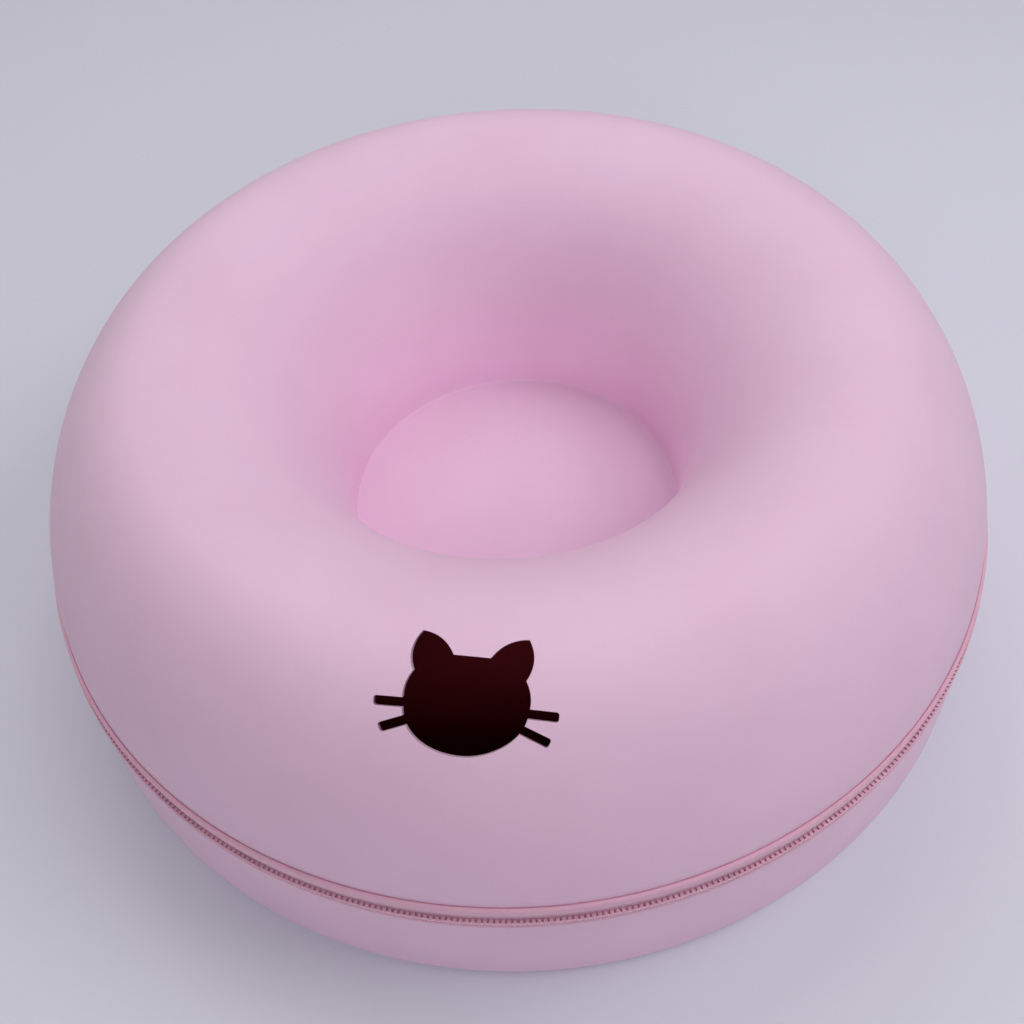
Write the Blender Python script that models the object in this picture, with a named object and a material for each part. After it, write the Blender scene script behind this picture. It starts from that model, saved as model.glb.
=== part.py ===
"""Donut cat tunnel: two moulded shells, joined by a zip that runs round the side.

The ring stands on its lower shell with the origin at the middle of its underside.
-Y is the front, where the peephole is, and +Y the back, where the fabric hinge is.
All lengths are in metres and angles in degrees.
"""

import math

import bmesh
import bpy
from mathutils import Matrix, Vector

# Overall sizes
OVERALL_DIAMETER = 0.590
OVERALL_HEIGHT = 0.200
SIDE_BULGE = 0.006
SHELL_WALL = 0.005
FIT_GAP = 0.0003
OVERRUN = 0.030
RING_STEPS = 60

# Upper shell: its radii follow from the overall diameter, going inwards
SHOULDER_WIDTH = 0.083
PIT_WALL_WIDTH = 0.100
WALL_TOP_ABOVE_ZIP = 0.016
PIT_FLOOR_HEIGHT = 0.052
PIT_CREASE_RADIUS = 0.003
SHOULDER_RISE_SHARE = 0.456
SHOULDER_LEAN_SHARE = 0.067
SHOULDER_CROWN_SHARE = 0.461
PIT_CROWN_SHARE = 0.37
PIT_WALL_SHARE = 0.82
SHOULDER_STEPS = 9
PIT_STEPS = 9

# Zip: the parting line between the two rows of teeth, and what lies round it
ZIP_HEIGHT = 0.072
UPPER_RIM_RISE = 0.005
LOWER_RIM_DROP = 0.004
CHAIN_WIDTH = 0.006
CHAIN_THICKNESS = 0.003
CHAIN_STANDOFF = 0.0004
DIVIDER_CHANNEL = 0.0024
UPPER_TAPE_HEIGHT = 0.0126
LOWER_TAPE_HEIGHT = 0.0065
TAPE_THICKNESS = 0.0014
TAPE_BULGE = 0.0011
TAPE_BULGE_SHARES = ((0.0, 0.0), (0.22, 0.15), (0.50, 1.0), (0.80, 0.65), (1.0, -0.6))
LOWER_TAPE_THICKNESS = 0.0014
BINDING_THICKNESS = 0.0012
BINDING_HEIGHT = 0.011

# Lower shell
BULGE_HEIGHT = 0.007
BASE_EDGE_WIDTH = 0.0065
SIDE_FLARE_SHARE = 0.45
SIDE_FALL_SHARE = 0.35
CENTRE_FOOT_SPREAD = 0.019
CENTRE_TOP_INSET = 0.008
CENTRE_BEND_RADIUS = 0.007
SIDE_STEPS = 4
BASE_EDGE_STEPS = 5
BEND_STEPS = 3

# Touch fastener between the pit floor and the raised centre
FASTENER_SHARE = 0.46
FASTENER_THICKNESS = 0.0015
FASTENER_STEPS = 32

# Fabric hinge and zip ends, as angles either side of the back
HINGE_HALF_ANGLE = 12.0
ZIP_START_ANGLE = 13.9
ZIP_PARK_ANGLE = 18.5
ZIP_OPENING_ANGLE = 24.0
PATCH_THICKNESS = 0.0014
PATCH_UPPER_HEIGHT = 0.016
PATCH_LOWER_HEIGHT = 0.014
STOP_LENGTH = 0.0024
BOTTOM_STOP_LENGTH = 0.004
STOP_PROUD = 0.0004

# Zip slider and pull
SLIDER_LENGTH = 0.013
SLIDER_HEIGHT = 0.011
SLIDER_PLATE = 0.0016
SLIDER_RUNNING_GAP = 0.0008
SLIDER_CORNER = 0.0004
BRIDGE_RADIUS = 0.0036
BRIDGE_BAR = 0.0014
BRIDGE_BAR_HEIGHT = 0.0020
BRIDGE_STEPS = 10
PULL_THICKNESS = 0.0014
PULL_LENGTH = 0.026
PULL_WIDTH = 0.0065
PULL_NECK_WIDTH = 0.0056
PULL_EYE_CLEARANCE = 0.0006
PULL_RIM = 0.0013
PULL_GAP = 0.0004

# Peephole: a cat's head seen from the front, as wide as FACE_HEAD_WIDTH
FACE_WALL_INSET = 0.0553
FACE_TOP_DROP = 0.0108
FACE_ANGLE = -97.2
FACE_NORMAL_ELEVATION = 55.0
FACE_TILT = -3.3
FACE_HEAD_WIDTH = 0.057
FACE_HEAD_TOP = 0.0206
FACE_HEAD_MIDDLE = -0.003
FACE_CHIN = -0.0248
FACE_LEAN = 0.04
FACE_TOP_HALF_WIDTH = 0.0085
EAR_FOOT = (0.0257, 0.0121)
EAR_TIP = (0.0246, 0.0300)
EAR_OUTER_SWELL = 0.0028
EAR_INNER_SWELL = 0.0024
CHEEK_SWELL = 0.0016
WHISKER_WIDTH = 0.0045
WHISKER_CORNER = 0.0013
WHISKER_ROOT_X = 0.020
WHISKERS = ((0.0421, -0.0023, -0.0028), (0.0388, -0.0076, -0.0150))
FACE_ARC_STEPS = 5
CHIN_STEPS = 14
CHIN_POWERS = (1.85, 2.1)

# Entrance: an oval hole through the back of the upper shell
ENTRANCE_WIDTH = 0.165
ENTRANCE_RISE_SHARE = 0.845
ENTRANCE_WALL_INSET = 0.017
ENTRANCE_HEIGHT_SHARE = 0.512
ENTRANCE_ELEVATION = 27.0
ENTRANCE_STEPS = 36

BACK = 90.0
FULL_TURN = 360.0
SHARP_ANGLE = 35.0
ROUND_END_STEPS = 8
WHISKER_CORNER_STEPS = 3

# Heights and radii that follow from the sizes above
RIM_TOP = ZIP_HEIGHT + UPPER_RIM_RISE
RIM_BOTTOM = ZIP_HEIGHT - LOWER_RIM_DROP
WALL_TOP_HEIGHT = ZIP_HEIGHT + WALL_TOP_ABOVE_ZIP
WALL_RADIUS = OVERALL_DIAMETER / 2 - SIDE_BULGE
CROWN_RADIUS = WALL_RADIUS - SHOULDER_WIDTH
PIT_FLOOR_RADIUS = CROWN_RADIUS - PIT_WALL_WIDTH
CENTRE_FOOT_RADIUS = PIT_FLOOR_RADIUS + CENTRE_FOOT_SPREAD
CENTRE_TOP_RADIUS = PIT_FLOOR_RADIUS - CENTRE_TOP_INSET
FASTENER_RADIUS = CENTRE_TOP_RADIUS * FASTENER_SHARE
FACE_RADIUS = WALL_RADIUS - FACE_WALL_INSET
FACE_HEIGHT = OVERALL_HEIGHT - FACE_TOP_DROP
ENTRANCE_RADIUS = WALL_RADIUS - ENTRANCE_WALL_INSET
ENTRANCE_RISE = (OVERALL_HEIGHT - RIM_TOP) * ENTRANCE_RISE_SHARE
ENTRANCE_HEIGHT = RIM_TOP + (OVERALL_HEIGHT - RIM_TOP) * ENTRANCE_HEIGHT_SHARE
TAPE_INNER_RADIUS = WALL_RADIUS + FIT_GAP
CHAIN_INNER = WALL_RADIUS + CHAIN_STANDOFF
CHAIN_OUTER = CHAIN_INNER + CHAIN_THICKNESS
CENTRE_TOP = PIT_FLOOR_HEIGHT - SHELL_WALL - 2 * FASTENER_THICKNESS - 3 * FIT_GAP
HINGE_Y = WALL_RADIUS + FIT_GAP + PATCH_THICKNESS + FIT_GAP


def rotated(x, y, degrees):
    """Return the point (x, y) turned about the origin."""
    a = math.radians(degrees)
    return x * math.cos(a) - y * math.sin(a), x * math.sin(a) + y * math.cos(a)


def bezier(p0, p1, p2, p3, steps):
    """Points of a cubic curve, without its first one."""
    points = []
    for i in range(1, steps + 1):
        t = i / steps
        s = 1 - t
        weights = (s ** 3, 3 * s * s * t, 3 * s * t * t, t ** 3)
        points.append(tuple(sum(w * p[k] for w, p in zip(weights, (p0, p1, p2, p3)))
                            for k in range(2)))
    return points


def rounded_corner(before, corner, after, radius, steps):
    """Points of an arc that rounds the corner of a bent line."""
    a = (Vector(before) - Vector(corner)).normalized()
    b = (Vector(after) - Vector(corner)).normalized()
    half = a.angle(b) / 2
    start = Vector(corner) + a * (radius / math.tan(half))
    end = Vector(corner) + b * (radius / math.tan(half))
    middle = Vector(corner) + (a + b).normalized() * (radius / math.sin(half))
    points = []
    for i in range(steps + 1):
        mixed = (start - middle).lerp(end - middle, i / steps).normalized()
        points.append(tuple(middle + mixed * radius))
    return points


def offset_line(points, distance):
    """Move an open profile sideways, to the left of its direction, keeping its thickness even."""
    normals = []
    for (x0, y0), (x1, y1) in zip(points, points[1:]):
        length = math.hypot(x1 - x0, y1 - y0)
        normals.append(Vector((-(y1 - y0) / length, (x1 - x0) / length)))
    moved = []
    for i, point in enumerate(points):
        before = normals[max(i - 1, 0)]
        after = normals[min(i, len(normals) - 1)]
        joint = (before + after) / (1 + before.dot(after))
        moved.append(tuple(Vector(point) + joint * distance))
    return moved


def upper_outline():
    """Outer face of the upper shell in radius and height, from its rim to the axis."""
    rise = OVERALL_HEIGHT - WALL_TOP_HEIGHT
    depth = OVERALL_HEIGHT - PIT_FLOOR_HEIGHT
    wall_top = (WALL_RADIUS, WALL_TOP_HEIGHT)
    crown = (CROWN_RADIUS, OVERALL_HEIGHT)
    corner = (PIT_FLOOR_RADIUS, PIT_FLOOR_HEIGHT)
    points = [(WALL_RADIUS, RIM_TOP), wall_top]
    points += bezier(wall_top,
                     (WALL_RADIUS - SHOULDER_WIDTH * SHOULDER_LEAN_SHARE,
                      WALL_TOP_HEIGHT + rise * SHOULDER_RISE_SHARE),
                     (CROWN_RADIUS + (WALL_RADIUS - CROWN_RADIUS) * SHOULDER_CROWN_SHARE, OVERALL_HEIGHT),
                     crown, SHOULDER_STEPS)
    points += bezier(crown,
                     (CROWN_RADIUS - (CROWN_RADIUS - PIT_FLOOR_RADIUS) * PIT_CROWN_SHARE, OVERALL_HEIGHT),
                     (PIT_FLOOR_RADIUS, PIT_FLOOR_HEIGHT + depth * PIT_WALL_SHARE),
                     corner, PIT_STEPS)[:-1]
    points += rounded_corner(points[-1], corner, (0, PIT_FLOOR_HEIGHT), PIT_CREASE_RADIUS, BEND_STEPS)
    return points + [(0, PIT_FLOOR_HEIGHT)]


def lower_side():
    """Outer face of the lower shell's side, from its rim down to the flat base."""
    widest = OVERALL_DIAMETER / 2
    flare = widest - WALL_RADIUS
    fall = RIM_BOTTOM - BULGE_HEIGHT
    points = [(WALL_RADIUS, RIM_BOTTOM)]
    points += bezier((WALL_RADIUS, RIM_BOTTOM),
                     (WALL_RADIUS + flare * SIDE_FLARE_SHARE, RIM_BOTTOM - fall * SIDE_FALL_SHARE),
                     (widest, BULGE_HEIGHT + fall * SIDE_FALL_SHARE),
                     (widest, BULGE_HEIGHT), SIDE_STEPS)
    for i in range(1, BASE_EDGE_STEPS + 1):
        a = math.radians(BACK * i / BASE_EDGE_STEPS)
        points.append((widest - BASE_EDGE_WIDTH * (1 - math.cos(a)), BULGE_HEIGHT * (1 - math.sin(a))))
    return points


def lower_outline():
    """Outer face of the lower shell, from its rim to the axis under the raised centre."""
    underside = CENTRE_TOP - SHELL_WALL
    side = lower_side()
    foot = (CENTRE_FOOT_RADIUS, 0)
    shoulder = (CENTRE_TOP_RADIUS, underside)
    points = side + rounded_corner(side[-1], foot, shoulder, CENTRE_BEND_RADIUS, BEND_STEPS)
    points += rounded_corner(foot, shoulder, (0, underside), CENTRE_BEND_RADIUS, BEND_STEPS)
    return points + [(0, underside)]


def side_band(low, high, inner, outer):
    """Cross-section of a band that lies on the lower shell's side between two heights."""
    side = lower_side()
    near = offset_line([(WALL_RADIUS, max(high, RIM_BOTTOM + FIT_GAP))] + side, inner)
    far = offset_line([(WALL_RADIUS, max(high, RIM_BOTTOM + FIT_GAP))] + side, outer)

    def at(line, height):
        for (x0, y0), (x1, y1) in zip(line, line[1:]):
            if y1 <= height <= y0:
                return x0 + (x1 - x0) * (y0 - height) / (y0 - y1)
        return line[0][0]

    heights = [high, (high + low) / 2, low]
    section = [(at(far, z), z) for z in reversed(heights)]
    return section + [(at(near, z), z) for z in heights]


def new_object(name, mesh_builder, material, parent=None):
    """Make an object from a bmesh and link it to the scene."""
    bm = bmesh.new()
    mesh_builder(bm)
    bmesh.ops.recalc_face_normals(bm, faces=bm.faces)
    mesh = bpy.data.meshes.new(name)
    bm.to_mesh(mesh)
    bm.free()
    mesh.shade_smooth()
    mesh.set_sharp_from_angle(angle=math.radians(SHARP_ANGLE))
    obj = bpy.data.objects.new(name, mesh)
    bpy.context.scene.collection.objects.link(obj)
    if material is not None:
        mesh.materials.append(material)
    if parent is not None:
        obj.parent = parent
        obj.matrix_parent_inverse = Matrix.Translation(parent.location).inverted()
    return obj


def turned(profile):
    """Builder of a closed profile turned a full circle about Z. Points on the axis become poles."""
    def build(bm):
        rings = []
        for r, z in profile:
            if r == 0:
                rings.append([bm.verts.new((0, 0, z))] * RING_STEPS)
                continue
            rings.append([bm.verts.new((*rotated(r, 0, FULL_TURN * i / RING_STEPS), z))
                          for i in range(RING_STEPS)])
        for ring, following in zip(rings, rings[1:] + rings[:1]):
            if ring[0] is ring[1] and following[0] is following[1]:
                continue
            for i in range(RING_STEPS):
                j = (i + 1) % RING_STEPS
                corners = []
                for vert in (ring[i], ring[j], following[j], following[i]):
                    if vert not in corners:
                        corners.append(vert)
                bm.faces.new(corners)
    return build


def ring_angles(start, end):
    """Angles from start to end that keep to the grid of the turned pieces."""
    step = FULL_TURN / RING_STEPS
    inner = [step * i for i in range(math.ceil(start / step), math.floor(end / step) + 1)]
    return [start] + [a for a in inner if start < a < end] + [end]


def swept(section_at, angles):
    """Builder of a cross-section swept round Z, open-ended with a cap at each end."""
    def build(bm):
        rings = []
        for angle in angles:
            rings.append([bm.verts.new((*rotated(r, 0, angle), z)) for r, z in section_at(angle)])
        count = len(rings[0])
        for ring, following in zip(rings, rings[1:]):
            for i in range(count):
                j = (i + 1) % count
                bm.faces.new((ring[i], ring[j], following[j], following[i]))
        bm.faces.new(reversed(rings[0]))
        bm.faces.new(rings[-1])
    return build


def prism(outline, depth_from, depth_to):
    """Builder of an outline in X and Y, extruded along Z."""
    def build(bm):
        low = [bm.verts.new((x, y, depth_from)) for x, y in outline]
        face = bm.faces.new(low)
        made = bmesh.ops.extrude_face_region(bm, geom=[face])
        top = [v for v in made["geom"] if isinstance(v, bmesh.types.BMVert)]
        bmesh.ops.translate(bm, verts=top, vec=(0, 0, depth_to - depth_from))
    return build


def several(*builders):
    """Builder that runs several builders into one mesh."""
    def build(bm):
        for builder in builders:
            builder(bm)
    return build


def cut(target, cutter):
    """Take the cutter's volume out of the target."""
    cutter.hide_render = True
    cutter.display_type = "WIRE"
    modifier = target.modifiers.new(cutter.name, "BOOLEAN")
    modifier.operation = "DIFFERENCE"
    modifier.solver = "EXACT"
    modifier.object = cutter


def material(name, red, green, blue, roughness, metallic=0.0):
    """Make a Principled material from a colour written as it looks, from 0 to 255."""
    mat = bpy.data.materials.new(name)
    mat.use_nodes = True
    shader = mat.node_tree.nodes["Principled BSDF"]
    linear = [(c / 255) ** 2.2 for c in (red, green, blue)]
    shader.inputs["Base Color"].default_value = (*linear, 1)
    shader.inputs["Roughness"].default_value = roughness
    shader.inputs["Metallic"].default_value = metallic
    mat.diffuse_color = (*linear, 1)
    return mat


def empty(name, location):
    """Make an empty that marks a joint."""
    obj = bpy.data.objects.new(name, None)
    obj.location = location
    bpy.context.scene.collection.objects.link(obj)
    return obj


def arc_between(start, end, swell, steps):
    """Points from start to end along a shallow curve that swells to the right by swell."""
    along = Vector(end) - Vector(start)
    side = Vector((along.y, -along.x)).normalized()
    points = []
    for i in range(1, steps + 1):
        t = i / steps
        points.append(tuple(Vector(start) + along * t + side * swell * 4 * t * (1 - t)))
    return points


def face_side(power):
    """Right half of the cat's head: flat top, ear, round cheek and one side of the chin."""
    half = FACE_HEAD_WIDTH / 2
    right = [(FACE_TOP_HALF_WIDTH, FACE_HEAD_TOP)]
    right += arc_between(right[-1], EAR_TIP, -EAR_INNER_SWELL, FACE_ARC_STEPS)
    right += arc_between(EAR_TIP, EAR_FOOT, -EAR_OUTER_SWELL, FACE_ARC_STEPS)
    right += arc_between(EAR_FOOT, (half, FACE_HEAD_MIDDLE), -CHEEK_SWELL, FACE_ARC_STEPS)
    drop = FACE_HEAD_MIDDLE - FACE_CHIN
    for i in range(1, CHIN_STEPS):
        a = math.radians(BACK * i / CHIN_STEPS)
        right.append((half * math.cos(a) ** (2 / power),
                      FACE_HEAD_MIDDLE - drop * math.sin(a) ** (2 / power)))
    return right


def face_outline():
    """The whole head. It leans a little, and its chin is fuller on the left."""
    right, left = (face_side(power) for power in CHIN_POWERS)
    outline = right + [(0, FACE_CHIN)] + [(-x, y) for x, y in reversed(left)]
    return [(x + y * FACE_LEAN, y) for x, y in outline]


def whisker_outline(side, end_x, root_y, end_y):
    """A slot that starts inside the head. Its end has rounded corners."""
    root = Vector((side * WHISKER_ROOT_X, root_y))
    end = Vector((side * end_x, end_y))
    along = (end - root).normalized()
    across = Vector((-along.y, along.x))
    half = WHISKER_WIDTH / 2
    points = [tuple(root - across * half)]
    for edge in (-1, 1):
        centre = end - along * WHISKER_CORNER + across * edge * (half - WHISKER_CORNER)
        for i in range(WHISKER_CORNER_STEPS + 1):
            a = math.radians(BACK * (i / WHISKER_CORNER_STEPS + (edge - 1) / 2))
            points.append(tuple(centre + (along * math.cos(a) + across * math.sin(a)) * WHISKER_CORNER))
    return points + [tuple(root + across * half)]


def place_on_shell(obj, radius, height, angle, elevation, turn):
    """Stand an object's Z along the shell's normal, with its Y up the slope."""
    normal = Vector((*rotated(math.cos(math.radians(elevation)), 0, angle), math.sin(math.radians(elevation))))
    slope = Vector((*rotated(-math.sin(math.radians(elevation)), 0, angle), math.cos(math.radians(elevation))))
    across = slope.cross(normal)
    basis = Matrix((across, slope, normal)).transposed().to_4x4()
    spot = Vector((*rotated(radius, 0, angle), height))
    obj.matrix_world = Matrix.Translation(spot) @ basis @ Matrix.Rotation(math.radians(turn), 4, "Z")


def make_upper_shell(laminate, lid):
    """Upper shell with the peephole and the entrance cut through it."""
    outer = upper_outline()
    inner = offset_line(outer, SHELL_WALL)
    inner[-1] = (0, inner[-1][1])
    shell = new_object("upper_shell", turned(outer + inner[::-1]), laminate, lid)

    head = new_object("cutter_peephole", prism(face_outline(), -OVERRUN, OVERRUN), None)
    place_on_shell(head, FACE_RADIUS, FACE_HEIGHT, FACE_ANGLE, FACE_NORMAL_ELEVATION, FACE_TILT)
    cut(shell, head)

    slots = [prism(whisker_outline(side, *sizes), -OVERRUN, OVERRUN)
             for side in (-1, 1) for sizes in WHISKERS]
    whiskers = new_object("cutter_whiskers", several(*slots), None)
    place_on_shell(whiskers, FACE_RADIUS, FACE_HEIGHT, FACE_ANGLE, FACE_NORMAL_ELEVATION, FACE_TILT)
    cut(shell, whiskers)

    oval = []
    for i in range(ENTRANCE_STEPS):
        x, y = rotated(1, 0, FULL_TURN * i / ENTRANCE_STEPS)
        oval.append((x * ENTRANCE_WIDTH / 2, y * ENTRANCE_RISE / 2))
    doorway = new_object("cutter_entrance", prism(oval, -OVERRUN * 2, OVERRUN * 2), None)
    place_on_shell(doorway, ENTRANCE_RADIUS, ENTRANCE_HEIGHT, BACK, ENTRANCE_ELEVATION, 0)
    cut(shell, doorway)
    return shell


def make_lower_shell(laminate):
    """Tray with a bulging side and a raised centre that carries the pit floor."""
    outer = lower_outline()
    inner = offset_line(outer, -SHELL_WALL)
    inner[-1] = (0, inner[-1][1])
    return new_object("lower_shell", turned(outer + inner[::-1]), laminate)


def upper_tape_section(angle):
    """Rounded tape over the upper rim. Beside the hinge its lower edge stays above the zip's end."""
    from_back = abs((angle - BACK + FULL_TURN / 2) % FULL_TURN - FULL_TURN / 2)
    low = ZIP_HEIGHT + CHAIN_WIDTH / 2 + FIT_GAP
    high = low + UPPER_TAPE_HEIGHT
    if from_back < ZIP_OPENING_ANGLE:
        low = RIM_TOP - FIT_GAP / 2
    outer = []
    for height_share, bulge_share in TAPE_BULGE_SHARES:
        outer.append((TAPE_INNER_RADIUS + TAPE_THICKNESS + TAPE_BULGE * bulge_share,
                      low + (high - low) * height_share))
    return outer + [(TAPE_INNER_RADIUS, high), (TAPE_INNER_RADIUS, low)]


def row_section(upper):
    """One row of teeth as a plain bead, with half the divider's channel beside it."""
    near = DIVIDER_CHANNEL / 2
    far = CHAIN_WIDTH / 2
    low, high = (ZIP_HEIGHT + near, ZIP_HEIGHT + far) if upper else (ZIP_HEIGHT - far, ZIP_HEIGHT - near)
    return [(CHAIN_INNER, low), (CHAIN_OUTER, low), (CHAIN_OUTER, high), (CHAIN_INNER, high)]


def zip_end_section():
    """Upper row with the narrow strip of tape that stays below the upper rim."""
    low = ZIP_HEIGHT + DIVIDER_CHANNEL / 2
    middle = ZIP_HEIGHT + CHAIN_WIDTH / 2
    high = RIM_TOP - FIT_GAP * 2
    outer = TAPE_INNER_RADIUS + TAPE_THICKNESS
    return [(CHAIN_INNER, low), (CHAIN_OUTER, low), (CHAIN_OUTER, middle), (outer, middle),
            (outer, high), (TAPE_INNER_RADIUS, high), (TAPE_INNER_RADIUS, middle), (CHAIN_INNER, middle)]


def make_zip(tape, teeth, metal, lid):
    """Tapes, rows of teeth, the fixed ends of the upper row, and the stops."""
    gap_angle = math.degrees(FIT_GAP / WALL_RADIUS)
    whole = (BACK + HINGE_HALF_ANGLE + gap_angle, BACK - HINGE_HALF_ANGLE - gap_angle + FULL_TURN)
    rows = (BACK + ZIP_START_ANGLE, BACK - ZIP_START_ANGLE + FULL_TURN)
    opening = (BACK + ZIP_OPENING_ANGLE + gap_angle, BACK - ZIP_OPENING_ANGLE - gap_angle + FULL_TURN)

    changes = []
    for edge, step in ((opening[0], -gap_angle), (opening[1], gap_angle)):
        changes += [edge, edge + 2 * step]
    angles = sorted(set(ring_angles(*whole) + changes))
    new_object("upper_zip_tape", swept(upper_tape_section, angles), tape, lid)
    new_object("upper_zip_chain", swept(lambda a: row_section(True), ring_angles(*opening)), teeth, lid)

    tape_top = ZIP_HEIGHT - CHAIN_WIDTH / 2 - FIT_GAP
    band = side_band(tape_top - LOWER_TAPE_HEIGHT, tape_top, FIT_GAP, FIT_GAP + LOWER_TAPE_THICKNESS)
    new_object("lower_zip_tape", swept(lambda a: band, ring_angles(*whole)), tape)
    new_object("lower_zip_chain", swept(lambda a: row_section(False), ring_angles(*rows)), teeth)

    inside = ZIP_OPENING_ANGLE - 2 * gap_angle
    ends = {"left_zip_end": (BACK + ZIP_START_ANGLE, BACK + inside),
            "right_zip_end": (BACK - inside, BACK - ZIP_START_ANGLE)}
    for name, span in ends.items():
        new_object(name, swept(lambda a: zip_end_section(), ring_angles(*span)), teeth)

    def stop(low, high):
        return [(CHAIN_INNER - STOP_PROUD, low), (CHAIN_OUTER + STOP_PROUD, low),
                (CHAIN_OUTER + STOP_PROUD, high), (CHAIN_INNER - STOP_PROUD, high)]

    half = CHAIN_WIDTH / 2
    stops = {"top_stop_upper": (-1, STOP_LENGTH, ZIP_HEIGHT + FIT_GAP / 2, ZIP_HEIGHT + half),
             "top_stop_lower": (-1, STOP_LENGTH, ZIP_HEIGHT - half, ZIP_HEIGHT - FIT_GAP / 2),
             "bottom_stop": (1, BOTTOM_STOP_LENGTH, ZIP_HEIGHT - half, ZIP_HEIGHT + half)}
    for name, (side, length, low, high) in stops.items():
        near = BACK + side * (ZIP_START_ANGLE - gap_angle)
        far = near - side * math.degrees(length / WALL_RADIUS)
        section = stop(low, high)
        new_object(name, swept(lambda a: section, sorted((near, far))), metal)


def make_bindings(tape, lid):
    """Tape over the sewn edges inside each shell."""
    inner = WALL_RADIUS - SHELL_WALL - FIT_GAP
    low = RIM_TOP + FIT_GAP
    section = [(inner - BINDING_THICKNESS, low), (inner, low), (inner, low + BINDING_HEIGHT),
               (inner - BINDING_THICKNESS, low + BINDING_HEIGHT)]
    new_object("upper_seam_binding", turned(section), tape, lid)
    high = RIM_BOTTOM - FIT_GAP
    near = -SHELL_WALL - FIT_GAP
    section = side_band(high - BINDING_HEIGHT, high, near - BINDING_THICKNESS, near)
    new_object("lower_seam_binding", turned(section), tape)


def make_hinge(fabric, lid):
    """The fabric hinge, parted at its fold so that each half rides on its own shell."""
    span = ring_angles(BACK - HINGE_HALF_ANGLE, BACK + HINGE_HALF_ANGLE)
    outer = TAPE_INNER_RADIUS + PATCH_THICKNESS
    low = ZIP_HEIGHT + FIT_GAP
    section = [(TAPE_INNER_RADIUS, low), (outer, low), (outer, low + PATCH_UPPER_HEIGHT),
               (TAPE_INNER_RADIUS, low + PATCH_UPPER_HEIGHT)]
    new_object("hinge_patch_upper", swept(lambda a: section, span), fabric, lid)
    high = ZIP_HEIGHT - FIT_GAP
    band = side_band(high - PATCH_LOWER_HEIGHT, high, FIT_GAP, FIT_GAP + PATCH_THICKNESS)
    new_object("hinge_patch_lower", swept(lambda a: band, span), fabric)


def make_fasteners(fabric, lid):
    """Hook disc on the raised centre and loop disc under the pit floor."""
    disc = [rotated(FASTENER_RADIUS, 0, FULL_TURN * i / FASTENER_STEPS) for i in range(FASTENER_STEPS)]
    low = CENTRE_TOP + FIT_GAP
    new_object("hook_disc", prism(disc, low, low + FASTENER_THICKNESS), fabric)
    low += FASTENER_THICKNESS + FIT_GAP
    new_object("loop_disc", prism(disc, low, low + FASTENER_THICKNESS), fabric, lid)


def plate_frame():
    """Radii of the slider's plates and of the pull's pivot."""
    inner_face = CHAIN_INNER - SLIDER_RUNNING_GAP
    outer_face = CHAIN_OUTER + SLIDER_RUNNING_GAP
    back = outer_face + SLIDER_PLATE
    pivot = back + PULL_GAP + PULL_THICKNESS / 2
    return inner_face, outer_face, back, pivot


def bridge_builder(pivot, back):
    """Arched bar on the slider's outer plate, in X along the zip and Y away from it."""
    def build(bm):
        path = [(BRIDGE_RADIUS, back - SLIDER_PLATE / 2, 0)]
        for i in range(BRIDGE_STEPS + 1):
            a = 2 * BACK * i / BRIDGE_STEPS
            x, y = rotated(BRIDGE_RADIUS, 0, a)
            path.append((x, pivot + y, a))
        path.append((-BRIDGE_RADIUS, back - SLIDER_PLATE / 2, 2 * BACK))
        rings = []
        for x, y, a in path:
            ax, ay = rotated(BRIDGE_BAR / 2, 0, a)
            z = BRIDGE_BAR_HEIGHT / 2
            corners = ((x - ax, y - ay, -z), (x + ax, y + ay, -z), (x + ax, y + ay, z), (x - ax, y - ay, z))
            rings.append([bm.verts.new(c) for c in corners])
        for ring, following in zip(rings, rings[1:]):
            for i in range(4):
                j = (i + 1) % 4
                bm.faces.new((ring[i], ring[j], following[j], following[i]))
        bm.faces.new(reversed(rings[0]))
        bm.faces.new(rings[-1])
    return build


def make_slider(metal, turntable):
    """Slider: two plates joined by the divider, and the bridge that holds the pull."""
    inner_face, outer_face, back, pivot = plate_frame()
    tall = SLIDER_HEIGHT / 2
    short = CHAIN_WIDTH / 2
    thin = DIVIDER_CHANNEL / 2 - FIT_GAP
    right = [(inner_face - SLIDER_PLATE, short), (inner_face, short), (inner_face, thin),
             (outer_face, thin), (outer_face, tall), (back, tall)]
    section = right + [(y, -z) for y, z in reversed(right)]

    def beam(bm):
        ends = []
        for x in (-SLIDER_LENGTH / 2, SLIDER_LENGTH / 2):
            ends.append([bm.verts.new((x, y, z)) for y, z in section])
        count = len(section)
        for i in range(count):
            j = (i + 1) % count
            bm.faces.new((ends[0][i], ends[0][j], ends[1][j], ends[1][i]))
        bm.faces.new(reversed(ends[0]))
        bm.faces.new(ends[1])

    seat = Matrix.Translation((0, 0, ZIP_HEIGHT)) @ Matrix.Rotation(math.radians(-ZIP_PARK_ANGLE), 4, "Z")
    slider = new_object("slider_body", beam, metal)
    slider.matrix_world = seat
    slider.parent = turntable
    slider.matrix_parent_inverse = Matrix.Translation(turntable.location).inverted()
    bevel = slider.modifiers.new("soft_edges", "BEVEL")
    bevel.width = SLIDER_CORNER
    bevel.segments = 1
    bridge = new_object("bridge_bar", bridge_builder(pivot, back), None)
    bridge.matrix_world = seat
    bridge.hide_render = True
    bridge.display_type = "WIRE"
    join = slider.modifiers.new("bridge", "BOOLEAN")
    join.operation = "UNION"
    join.solver = "EXACT"
    join.object = bridge
    return slider, seat, pivot


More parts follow.
